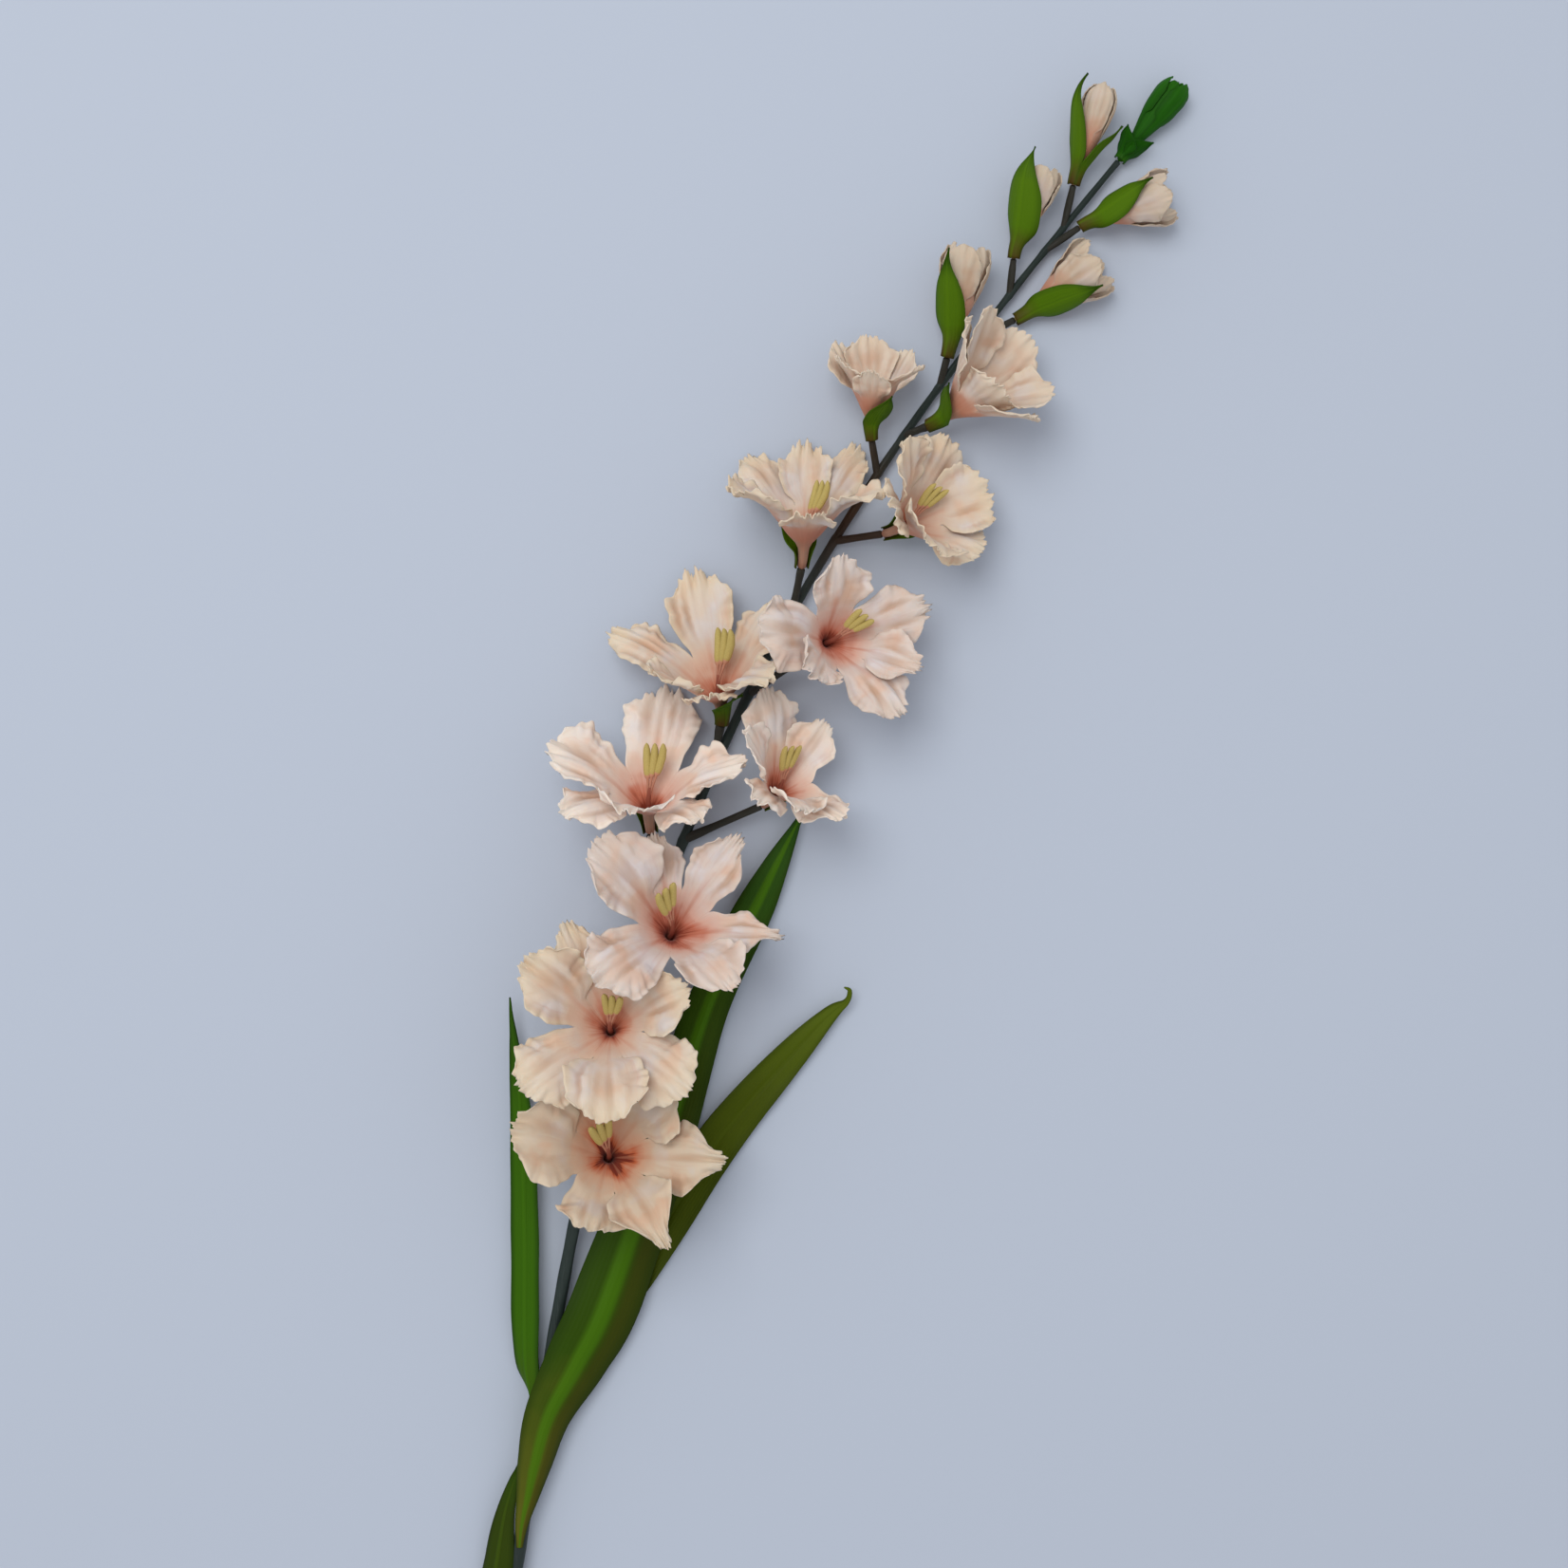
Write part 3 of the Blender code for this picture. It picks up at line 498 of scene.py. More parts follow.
class Cloth(Enum):
    """The dye lots of the tepals, and one lighter copy of the blush lot as painted light for steep
    tepals.
    """

    PEACH = PetalCloth(
        "petal_cloth_peach", foot="#7E3A22", throat="#86301A", funnel="#C47A5E", sinus="#DAB59E",
        body="#DAC7B4", rim="#E2D0B4", rib="#CC8C72", warm="#DCB99C", cool="#D8CEC8",
    )
    BLUSH = PetalCloth(
        "petal_cloth_blush", foot="#7E3A22", throat="#86301C", funnel="#C07058", sinus="#D9AE9C",
        body="#DAC8BC", rim="#E0D0C2", rib="#BE745A", warm="#DCB8A0", cool="#DAD0CE", rib_strength=0.65,
    )
    # The blush cloth painted lighter: painted light that brightens the steep tepals of floret_04 and
    # floret_05.
    BLUSH_PAINTED_LIGHT = PetalCloth(
        "petal_cloth_blush_painted_light", foot="#7E3A22", throat="#86301C", funnel="#CA7A60", sinus="#E8C2B0",
        body="#EEDCCE", rim="#F0E2D2", rib="#CC8468", warm="#EECBB2", cool="#E8DED8", rib_strength=0.55,
    )
    SAND = PetalCloth(
        "petal_cloth_sand", foot="#6E2410", throat="#741E0C", funnel="#C2623A", sinus="#D4A688",
        body="#D2BDA4", rim="#DAC8AE", rib="#C2886A", warm="#D4AE90", cool="#CEC0B4", throat_end=0.27,
    )
    CREAM = PetalCloth(
        "petal_cloth_cream", foot="#A08A5A", throat="#B07A5A", funnel="#CC9C82", sinus="#D2AE94",
        body="#DAC6B2", rim="#DECDB6", rib="#C8967C", warm="#D4B096", cool="#D8CCC2",
    )
    FURLED = PetalCloth(
        "petal_cloth_bud", foot="#8A8452", throat="#B08468", funnel="#B8907A", sinus="#BE9A82",
        body="#C6B29C", rim="#CCBAA2", rib="#BC947E", warm="#C0A084", cool="#CCBAAE", rib_strength=0.25,
    )
    TIP = LeafVinyl(
        "tip_vinyl", base="#2C5C0C", blade="#1C5404", tip="#245E0A", rib="#28640C", edge="#123E02",
        base_end=0.2, vein_count=4.0, rib_strength=0.3, cloud_size=14 * MM,
    )


@dataclass(frozen=True)
class StemLine:
    """The centre line of the stem. Headings are from +Y, positive to the right."""

    length: float = 922 * MM
    foot: Pair = (47 * MM, -476 * MM)
    heading_foot: float = math.radians(-10.8)
    heading_tip: float = math.radians(19.5)
    bend: Pair = (222 * MM, 919 * MM)
    radius_foot: float = 3.7 * MM
    radius_tip: float = 1.5 * MM
    sides: int = 8
    lies_flat_to: float = 60 * MM
    clasped_height: float = 9.5 * MM
    clasped: Pair = (150 * MM, 290 * MM)
    spike_height: float = 5.5 * MM
    spike_from: float = 500 * MM
    end_margin: float = 0.001

    def heading(self, along: float) -> float:
        """The heading at this distance from the cut end."""
        return mix(self.heading_foot, self.heading_tip, smooth(along, *self.bend))

    def level_axes(self, heading: float) -> tuple[Vector, Vector]:
        """The directions (right, ahead) for this heading, both level."""
        cos, sin = math.cos(heading), math.sin(heading)
        return Vector((cos, -sin, 0.0)), Vector((sin, cos, 0.0))

    def height(self, along: float) -> float:
        """Height of the centre line over the surface.

        Args:
            along: metres from the cut end.

        Returns:
            The height in metres.
        """
        flat = self.radius_foot * math.cos(math.pi / self.sides)
        lifted = mix(flat, self.clasped_height, smooth(along, self.lies_flat_to, self.clasped[0]))
        return mix(lifted, self.spike_height, smooth(along, self.clasped[1], self.spike_from))

    def radius(self, along: float) -> float:
        """Radius of the stem here."""
        share = max(0.0, along - self.lies_flat_to) / (self.length - self.lies_flat_to)
        return mix(self.radius_foot, self.radius_tip, share)

    @cached_property
    def path(self) -> list[Vector]:
        """Points of the centre line, one every millimetre.

        Returns:
            The points, without their height.
        """
        points = [Vector((*self.foot, 0.0))]
        for i in range(round(self.length / MM)):
            points.append(points[-1] + MM * self.level_axes(self.heading((i + 0.5) * MM))[1])
        return points

    def point(self, along: float) -> Vector:
        """The centre of the stem.

        Args:
            along: metres from the cut end.

        Returns:
            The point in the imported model's frame.
        """
        place = min(max(along / MM, 0.0), len(self.path) - 1 - self.end_margin)
        i = int(place)
        point = self.path[i].lerp(self.path[i + 1], place - i)
        point.z = self.height(along)
        return point

    def beside(self, along: float, right: float, height: float) -> Vector:
        """A point beside the stem.

        Args:
            along: millimetres from the cut end.
            right: millimetres to the right of the centre line.
            height: millimetres over the surface.

        Returns:
            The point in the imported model's frame.
        """
        point = self.point(along * MM) + right * MM * self.level_axes(self.heading(along * MM))[0]
        point.z = height * MM
        return point


LINE = StemLine()

# How pieces that would sink into the surface are pressed up from it.
SURFACE_CLEARANCE = 0.8 * MM
PETAL_SOFTNESS = 5.0 * MM
LEAF_SOFTNESS = 1.5 * MM


def off_surface(point: Vector, share: float, softness: float = PETAL_SOFTNESS) -> Vector:
    """Presses a point up from where it would sink into the surface.

    Args:
        point: the point, which is changed.
        share: how much of the press it takes, from 0 to 1.
        softness: how gradually it sets in, in metres.

    Returns:
        The same point.
    """
    low = SURFACE_CLEARANCE
    pressed = low + softness * math.log1p(math.exp((point.z - low) / softness))
    point.z = mix(point.z, pressed, share)
    return point


@dataclass
class Skin:
    """The mesh of one piece while it is built."""

    name: str

    def __post_init__(self) -> None:
        """Starts with no faces, and with the layer that the finishes read."""
        self.bm = bmesh.new()
        self.layer = self.bm.verts.layers.float_vector.new(BLADE_LAYER)

    def add_grid(self, columns: int, rows: int, place: Place, mark: Mark) -> None:
        """Adds a grid of points.

        Args:
            columns: how many faces across.
            rows: how many faces along.
            place: gives the point at (across from -1 to 1, share of the rows from 0 to 1).
            mark: gives what the layer holds there.
        """
        made = bmesh.ops.create_grid(self.bm, x_segments=columns, y_segments=rows, size=1.0)
        for vertex in made["verts"]:
            across, share = vertex.co.x, (vertex.co.y + 1) / 2
            vertex.co = place(across, share)
            vertex[self.layer] = mark(across, share)

    def add_tube(
        self, rings: Sequence[tuple[Vector, Vector, Vector, float]], sides: int,
        mark: Mark, caps: int = 3, cap_length: float = 0.5,
    ) -> None:
        """Adds a closed tube with rounded ends.

        Args:
            rings: (centre, right, up, radius) of each ring.
            sides: how many faces go round.
            mark: gives the layer's value at (turn from -1 to 1, share of the rings).
            caps: rings that round off each end.
            cap_length: how far they stand out, against the radius.
        """
        rounded = []
        for end, inner, order in ((rings[0], rings[1], 1), (rings[-1], rings[-2], -1)):
            out = (end[0] - inner[0]).normalized()
            dome = []
            for i in range(1, caps + 1):
                turn = 0.5 * math.pi * i / (caps + 1)
                centre = end[0] + out * end[3] * cap_length * math.sin(turn)
                dome.append((centre, end[1], end[2], end[3] * math.cos(turn)))
            rounded.append(dome[::-order])
        every = rounded[0] + list(rings) + rounded[1]

        def place(across: float, share: float) -> Vector:
            """The point of the tube there.

            Args:
                across: the turn from -1 to 1.
                share: the share of the rings.

            Returns:
                The point.
            """
            centre, right, up, radius = every[round(share * (len(every) - 1))]
            turn = math.pi * (across + 1 / sides - 1 / 2)
            return centre + radius * (right * math.cos(turn) + up * math.sin(turn))

        self.add_grid(sides, len(every) - 1, place, mark)
        bmesh.ops.remove_doubles(self.bm, verts=self.bm.verts, dist=SEAM_GAP)
        open_edges = [edge for edge in self.bm.edges if edge.is_boundary]
        bmesh.ops.holes_fill(self.bm, edges=open_edges, sides=0)

    def finish(
        self, slot: str, nodes: Sequence[str], materials: Sequence[Material],
        thickness: float = 0.0, facing: Vector | None = None,
    ) -> Object:
        """Makes the object, lets it ride on the body and stand for its nodes.

        Args:
            slot: the record's material slot; not used.
            nodes: the CAD nodes that it stands for.
            materials: the finish of the face that a bloom opens, and of its back where it differs.
            thickness: how thick an open sheet becomes, evenly to both sides.
            facing: where most of an open sheet's face with the first finish looks.

        Returns:
            The object.
        """
        bmesh.ops.remove_doubles(self.bm, verts=self.bm.verts, dist=MERGE_GAP)
        bmesh.ops.recalc_face_normals(self.bm, faces=self.bm.faces)
        if facing and sum(face.normal.dot(facing) * face.calc_area() for face in self.bm.faces) < 0:
            bmesh.ops.reverse_faces(self.bm, faces=self.bm.faces)
        mesh = bpy.data.meshes.new(self.name)
        self.bm.to_mesh(mesh)
        self.bm.free()
        mesh.shade_smooth()
        for finish in materials:
            mesh.materials.append(finish)
        made = bpy.data.objects.new(self.name, mesh)
        bpy.context.scene.collection.objects.link(made)
        if thickness:
            wall = made.modifiers.new("thickness", "SOLIDIFY")
            wall.thickness = thickness
            wall.offset = 0.0
            wall.material_offset = len(materials) - 1
        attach(made, BODY)
        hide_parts(*nodes)
        return made


@dataclass(frozen=True)
class Bract:
    """A green blade at a bloom's base. side is in degrees round the base, and 90 is up."""

    side: float
    length: float
    half_width: float
    flare: float = 0.0


@dataclass(frozen=True)
class Lobe:
    """The free blade of one tepal: where it points round the mouth and its size against the usual.

    angle and spread are in degrees. spread opens it further than its neighbours, taper is how much
    of its width is gone at the tip, and dye how much further the throat's dye runs up its middle.
    """

    angle: float
    length: float = 1.0
    width: float = 1.0
    spread: float = 0.0
    taper: float = 0.42
    dye: float = 0.0


@dataclass(frozen=True)
class Bloom:
    """A floret or a bud and where it grows. Lengths are in millimetres, angles in degrees.

    along is where its stalk leaves the stem, and stalk is (right, ahead, up) from the stem's centre
    to the bloom's base. turn is the mouth's direction against the stem's heading, positive to the
    right, and lean is how far it leans that way from straight up. opened is 0 for a closed bud and
    1 for an open floret. Where lobes are given, they are its six tepals, in order round the mouth,
    and the first, third and fifth are the inner whorl.
    """

    name: str
    along: float
    stalk: Triple
    turn: float
    lean: float
    size: float = 1.0
    opened: float = 1.0
    roll: float = 0.0
    bracts: tuple[Bract, ...] = (Bract(270, 34, 8),)
    stamens: bool = True
    lobes: tuple[Lobe, ...] = ()
    cloth: Cloth = Cloth.PEACH


FLORETS = (
    Bloom(
        "floret_01", 342, (8, 19, 7), 8, 17, size=1.04, roll=36, cloth=Cloth.SAND,
        lobes=(
            Lobe(24, 0.78, 0.95, -8, dye=-0.03), Lobe(100, 0.78, 0.9, 8, dye=0.11),
            Lobe(146, 0.9, 1.08, -3, 0.34, -0.05), Lobe(230, 0.72, 0.95, -20, dye=-0.05),
            Lobe(275, 1.06, 0.85, -3, 0.7, 0.11), Lobe(329, 1.04, 1, 2, 0.6, 0.06),
        ),
    ),
    Bloom(
        "floret_02", 395, (-2, 27, 13), -14, 16, size=0.92,
        lobes=(
            Lobe(35, 0.88, 0.95, 1, 0.4, 0.02), Lobe(128, 1.15, 0.85, 2, dye=0.06),
            Lobe(159, 1.1, 1, -7, 0.35, 0.08), Lobe(235, 1.12, 1.15, 2, 0.2, -0.02),
            Lobe(287, 1.14, 1.1, -7, 0.25, -0.05), Lobe(333, 1.15, 1.15, 2, 0.2, -0.05),
        ),
    ),
    Bloom(
        "floret_03", 444, (9, 28, 11), 8, 27, roll=50, cloth=Cloth.BLUSH,
        lobes=(
            Lobe(18, 0.95, 0.68, -5, 0.5), Lobe(71, 0.76, 0.7, 9, 0.5),
            Lobe(111, 1.09, 1, -5, 0.3, 0.06), Lobe(187, 1.12, 1.08, -1, 0.25, -0.03),
            Lobe(265, 0.93, 0.85, -3, 0.35, 0.04), Lobe(313, 0.97, 0.62, 2, 0.7, 0.09),
        ),
    ),
    Bloom(
        "floret_04", 494, (-15, 29, 6.5), -18, 46, roll=10, cloth=Cloth.BLUSH_PAINTED_LIGHT,
        lobes=(
            Lobe(9, 0.95, 0.8, -3, 0.4), Lobe(98, 1.15, 1.1, 2, 0.3),
            Lobe(192, 0.96, 1.05, -3, 0.3), Lobe(236, 0.95, 0.9, 7, 0.35),
            Lobe(278, 0.95, 0.9, -15), Lobe(323, 0.82, 0.8, 2),
        ),
    ),
    Bloom(
        "floret_05", 526, (29, 29, 10), 14, 42, size=0.82, opened=0.8, roll=20,
        bracts=(Bract(270, 28, 7),), cloth=Cloth.BLUSH_PAINTED_LIGHT,
        lobes=(
            Lobe(52, 0.78, 0.8, -3), Lobe(107, 1.12, 1.1, 2, 0.3),
            Lobe(168, 1.05, 0.9, -11), Lobe(224, 1.1, 0.85, 2),
            Lobe(257, 1.1, 0.85, -3), Lobe(297, 0.96, 1, 2, 0.4),
        ),
    ),
    Bloom(
        "floret_06", 560, (-5, 24, 6), -36, 50, size=1.04, opened=0.95, bracts=(Bract(60, 38, 8),),
        lobes=(
            Lobe(-10, 0.93, 0.68, 8, 0.35), Lobe(80, 0.78, 0.8, 2),
            Lobe(138, 1.05, 0.8, -3, 0.35), Lobe(196, 1.05, 0.75, 4, 0.3),
            Lobe(262, 0.62, 0.9, -14), Lobe(311, 0.6, 0.7, -6),
        ),
    ),
    Bloom(
        "floret_07", 604, (19, 32, 16), 45, 26, size=0.86, roll=-20, cloth=Cloth.BLUSH,
        lobes=(
            Lobe(18, 0.85, 0.75, -3), Lobe(64, 1.03, 1, 2, 0.4),
            Lobe(145, 0.82, 0.95, -6), Lobe(227, 1.12, 1.2, 2, 0.2),
            Lobe(265, 0.95, 0.8, -17), Lobe(345, 1.08, 1, 2, 0.35),
        ),
    ),
    Bloom(
        "floret_08", 650, (-6, 19, 11), -28, 62, size=0.9, opened=0.95, bracts=(Bract(250, 38, 9),),
        lobes=(
            Lobe(14, 1.05, 0.9, -3, 0.3), Lobe(108, 1.24, 0.85, -5, 0.3),
            Lobe(139, 0.98, 0.75, -8, 0.4), Lobe(174, 1.14, 0.85, 2, 0.25),
            Lobe(259, 0.95, 1.05, -3, 0.25), Lobe(321, 0.75, 0.85, -6),
        ),
    ),
    Bloom(
        "floret_09", 690, (18, 14, 9), 30, 46, size=0.82, opened=0.85,
        lobes=(
            Lobe(40, 0.87, 1.1, -3, 0.15), Lobe(94, 1.02, 1.15, 2, 0.15),
            Lobe(161, 0.97, 1.05, -3, 0.2), Lobe(217, 0.97, 1, 2, 0.2),
            Lobe(261, 1.1, 1.1, -3, 0.15), Lobe(341, 0.78, 1.15, 2, 0.15),
        ),
    ),
    Bloom(
        "floret_10", 729, (-11, 11, 7), -30, 64, size=0.73, opened=0.6,
        bracts=(Bract(60, 32, 7),), cloth=Cloth.CREAM, stamens=False,
        lobes=(
            Lobe(16, 0.94, 0.55, 18, 0.6), Lobe(96, 0.82, 0.9, 0, 0.35),
            Lobe(153, 0.92, 1.05, 0, 0.3), Lobe(201, 0.9, 1.05, 0, 0.3),
            Lobe(253, 0.75, 0.95, 4, 0.3), Lobe(316, 0.72, 0.75, -6, 0.4),
        ),
    ),
    Bloom(
        "floret_11", 752, (7, 9, 7), 20, 52, size=0.94, opened=0.55, roll=30,
        bracts=(Bract(122, 36, 8),), cloth=Cloth.CREAM, stamens=False,
        lobes=(
            Lobe(-31, 0.88, 1.1, 0, 0.25), Lobe(44, 0.93, 1.05, 0, 0.25),
            Lobe(113, 0.98, 1, 0, 0.25), Lobe(149, 0.97, 0.9, 0, 0.3),
            Lobe(231, 0.72, 1, -8, 0.4), Lobe(276, 0.92, 1.0, 4, 0.35),
        ),
    ),
)
BUDS = (
    Bloom(
        "bud_12", 782, (-5, 12, 4), -26, 80, size=0.78, opened=0.25,
        bracts=(Bract(122, 50, 9, 2),), cloth=Cloth.FURLED,
    ),
    Bloom(
        "bud_13", 810, (9.5, 19.5, 1), 19, 80, size=0.72, opened=0.36,
        bracts=(Bract(54, 46, 9),), cloth=Cloth.FURLED,
    ),
    Bloom(
        "bud_14", 838, (-9, 14, 4), -19, 80, size=0.66, opened=0.25,
        bracts=(Bract(124, 50, 12, 2),), cloth=Cloth.FURLED,
    ),
    Bloom(
        "bud_15", 866, (6, 18, 4), 35, 78, size=0.68, opened=0.33,
        bracts=(Bract(114, 42, 9),), cloth=Cloth.FURLED,
    ),
    Bloom(
        "bud_16", 880, (-9, 18, 4), -22, 80, size=0.7, opened=0.15,
        bracts=(Bract(150, 48, 7.5, 2), Bract(14, 34, 6.5, 2)), cloth=Cloth.FURLED,
    ),
)
TIP = Bloom(
    "tip_bud", 921, (0, 1.8, 0), -1, 86, size=0.68, opened=0.15,
    bracts=(Bract(140, 16, 8, 1), Bract(35, 17, 7.5, 1)), cloth=Cloth.TIP,
)


@dataclass(frozen=True)
class Seat:
    """Where a bloom sits: its base, its stalk's direction and the axes of its mouth."""

    base: Vector
    stalk: Vector
    across: Vector
    dorsal: Vector
    mouth: Vector
    size: float
    bend: float = 13.0

    @classmethod
    def of(cls, bloom: Bloom) -> "Seat":
        """The seat of a bloom on the stem's line.

        Args:
            bloom: the bloom.

        Returns:
            Its seat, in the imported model's frame.
        """
        along = bloom.along * MM
        heading = LINE.heading(along)
        right, ahead = LINE.level_axes(heading)
        stalk = (right * bloom.stalk[0] + ahead * bloom.stalk[1] + UP * bloom.stalk[2]) * MM
        sideways = LINE.level_axes(heading + math.radians(bloom.turn))[1]
        lean = math.radians(bloom.lean)
        mouth = sideways * math.sin(lean) + UP * math.cos(lean)
        dorsal = (ahead - mouth * ahead.dot(mouth)).normalized()
        dorsal = Matrix.Rotation(math.radians(bloom.roll), 3, mouth) @ dorsal
        return cls(
            base=LINE.point(along) + stalk, stalk=stalk.normalized(), across=dorsal.cross(mouth),
            dorsal=dorsal, mouth=mouth, size=bloom.size,
        )

    def place(self, point: Vector) -> Vector:
        """Carries a point along the bent tube into place.

        Args:
            point: the point in the bloom's own axes, in millimetres for size 1.

        Returns:
            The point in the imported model's frame.
        """
        bend = self.bend * self.size * MM
        x, y, z = point * self.size * MM
        t = min(1.0, z / bend)
        centre = self.base + bend * (self.stalk * t * (1 - t / 2) + self.mouth * t * t / 2)
        centre += self.mouth * max(0.0, z - bend)
        turned = self.mouth.rotation_difference(self.stalk.lerp(self.mouth, t))
        return centre + turned @ (self.across * x + self.dorsal * y)


# A bloom goes from open to bud between these shares of opened.
CLOSES = (0.5, 0.2)


@dataclass(frozen=True)
class Whorl:
    """What three tepals of a bloom have in common, in millimetres for size 1.

    offset is how far they stand inside their middle line, cup the radius across them, negative
    where the edges bend back, and bias which way their ruffles lean. Without lobes, each opens
    further by some of spreads, in degrees.
    """

    half_width: float
    offset: float
    cup: float
    bias: float
    spreads: Pair


@dataclass(frozen=True)
class Wave:
    """A wave that fans out over a blade: its height at the rim, how many, and how late it grows."""

    height: float
    count: int
    power: float


@dataclass(frozen=True)
class Tepal:
    """One tepal of a bloom, and the angles from its middle to the seams before and after it."""

    lobe: Lobe
    whorl: Whorl
    before: float
    after: float
    phase: float


@dataclass(frozen=True)
class MiddleLine:
    """The middle line of a tepal of size 1, in millimetres from the bloom's base."""

    opened: float
    spread: float = 0.0
    base_disc: float = 1.8
    tube_end: float = 12.0
    funnel_start: float = 20.0
    sinus: float = 37.0
    blade: float = 38.0
    step: float = 0.5
    tube_slope: float = 3.0
    funnel_slope: Pair = (9.0, 43.0)
    blade_slope: Pair = (-6.0, 62.0)
    tip_curl: Pair = (-16.0, 22.0)
    closed_curl: float = -34.0
    blade_turns: Pair = (0.0, 0.55)
    tip_turns: Pair = (0.5, 1.0)

    @cached_property
    def points(self) -> list[Triple]:
        """(radius, height, slope) at every step from the base.

        Returns:
            Radius and height in millimetres, and the slope from the bloom's axis in radians.
        """
        funnel = mix(*self.funnel_slope, self.opened)
        blade = mix(*self.blade_slope, self.opened) + self.spread
        curl = mix(*self.tip_curl, self.opened) + self.closed_curl * smooth(self.opened, *CLOSES)
        radius = height = 0.0
        line = []
        for i in range(round((self.sinus + self.blade) / self.step) + 3):
            along = (i + 0.5) * self.step
            share = (along - self.sinus) / self.blade
            slope = mix(self.tube_slope, funnel, smooth(along, self.tube_end, self.funnel_start))
            slope = mix(slope, blade, smooth(share, *self.blade_turns))
            slope += curl * smooth(share, *self.tip_turns)
            slope = math.radians(90 if along < self.base_disc else slope)
            line.append((radius, height, slope))
            radius += self.step * math.sin(slope)
            height += self.step * math.cos(slope)
        return line

    def at(self, along: float) -> Triple:
        """The line between its steps.

        Args:
            along: millimetres from the base.

        Returns:
            (radius, height, slope) there.
        """
        place = max(0.0, along / self.step)
        i = min(int(place), len(self.points) - 2)
        near, far = self.points[i], self.points[i + 1]
        return tuple(mix(a, b, place - i) for a, b in zip(near, far))


@dataclass(frozen=True)
class Corolla:
    """The six tepals of a bloom, grown together below, with their ruffles and frills.

    Lengths are millimetres for size 1. Shares are of the free blade, from the sinus to the tip, or
    of how far the bloom has opened. Its rim has ruffles, finer frills and the finest crimps.
    """

    bloom: Bloom
    inner: Whorl = Whorl(20.0, 2.2, 42.0, 0.6, (-6.0, -1.0))
    outer: Whorl = Whorl(17.5, -1.3, -90.0, -0.6, (0.0, 5.0))
    lengths: Pair = (0.93, 1.03)
    widths: Pair = (0.94, 1.04)
    cleft: float = 0.04
    cleft_end: float = 0.08
    feet_part: Pair = (0.04, 0.22)
    rounding: float = 0.22
    rounds: Pair = (0.2, 0.6)
    widest_at: float = 0.55
    width_at_sinus: float = 0.5
    narrows_by: float = 1.04
    narrowing: float = 1.3
    width_limit: float = 0.98
    waves_from: float = 0.4
    rim_from: float = 0.45
    edge_from: Pair = (0.1, 0.4)
    ruffles: Wave = Wave(2.0, 7, 2.5)
    frills: Wave = Wave(1.1, 17, 3.0)
    crimps: Wave = Wave(0.75, 37, 3.5)
    crimp_base: float = 0.8
    ragged_waves: float = 4.0
    tip_wear: Triple = (0.8, 0.6, 1.2)
    tip_power: int = 8
    tip_wears: Pair = (0.1, 0.6)
    width_wear: Pair = (0.03, 0.015)
    width_wears: Pair = (0.15, 0.4)
    pleat: float = 1.85
    pleat_count: float = 4.5
    pleat_change: Pair = (9.0, 0.9)
    pleat_grows: Pair = (0.05, 0.5)
    bud_pleat: float = 0.3
    keel_from: float = 25.0
    keel: float = 0.6
    keel_ends: float = 0.3
    frees_along: Pair = (0.0, 0.4)
    frees_opened: Pair = (0.25, 0.9)
    bud_rounding: float = 0.36
    bud_offset: float = 0.45
    bud_width: float = 1.3
    dye_fades: Pair = (0.8, 0.3)
    surface_from: float = 0.4
    thickness: float = 0.45 * MM
    columns: int = 36
    tube_rows: int = 10
    blade_rows: int = 38

    @cached_property
    def tepals(self) -> list[Tepal]:
        """The six tepals. Unless lobes are given, they stand evenly, with small differences.

        Returns:
            The tepals in order round the mouth.
        """
        draw = random.Random(self.bloom.name)
        whorls = (self.inner, self.outer) * 3
        lobes, phases = [], []
        for i, whorl in enumerate(whorls):
            lobes.append(Lobe(
                angle=30 + 60 * i,
                length=draw.uniform(*self.lengths),
                width=draw.uniform(*self.widths),
                spread=draw.uniform(*whorl.spreads) * self.bloom.opened,
            ))
            phases.append(draw.uniform(0, math.tau))
        lobes = self.bloom.lobes or lobes
        return [
            Tepal(
                lobe=lobe,
                whorl=whorls[i],
                before=math.radians((lobe.angle - lobes[i - 1].angle) % 360) / 2,
                after=math.radians((lobes[(i + 1) % 6].angle - lobe.angle) % 360) / 2,
                phase=phases[i],
            )
            for i, lobe in enumerate(lobes)
        ]

    def blade_width(self, share: float, taper: float) -> float:
        """Half the width of a free blade against its widest.

        Args:
            share: the place from the sinus to the tip.
            taper: how much of the width is gone at the tip.

        Returns:
            The share of the widest.
        """
        turn = 0.5 * math.pi * min(1.0, share / self.widest_at)
        grown = mix(self.width_at_sinus, 1.0, math.sin(turn))
        return grown * (1 - taper * smooth(share, self.narrows_by - taper, 1.0) ** self.narrowing)

    def fold(self, tepal: Tepal, across: float, share: float) -> float:
        """How far a fold that runs along the blade rises here.

        Args:
            tepal: the tepal.
            across: from -1 to 1 between its edges.
            share: the place from the sinus to the tip.

        Returns:
            The height against the highest, which is negative in a furrow.
        """
        between, along = self.pleat_change
        rise = noise.noise(Vector((self.pleat_count * across, between * tepal.phase, along * share)))
        return rise * smooth(share, *self.pleat_grows) * mix(self.bud_pleat, 1.0, self.bloom.opened)

    def point(self, tepal: Tepal, line: MiddleLine, across: float, along: float) -> Vector:
        """A point of a tepal in the bloom's own axes, for size 1.

        Args:
            tepal: the tepal.
            line: its middle line.
            across: from -1 to 1 between its edges.
            along: the distance from the base in millimetres.

        Returns:
            The point in millimetres.
        """
        opened = self.bloom.opened
        lobe, whorl = tepal.lobe, tepal.whorl
        share = max(0.0, (along - line.sinus) / line.blade)
        rim = max(abs(across), (share - self.rim_from) / (1 - self.rim_from))
        turn_in_blade = math.atan2(across, share - self.waves_from)
        ragged = noise.noise(Vector((self.ragged_waves * turn_in_blade, tepal.phase, share)))
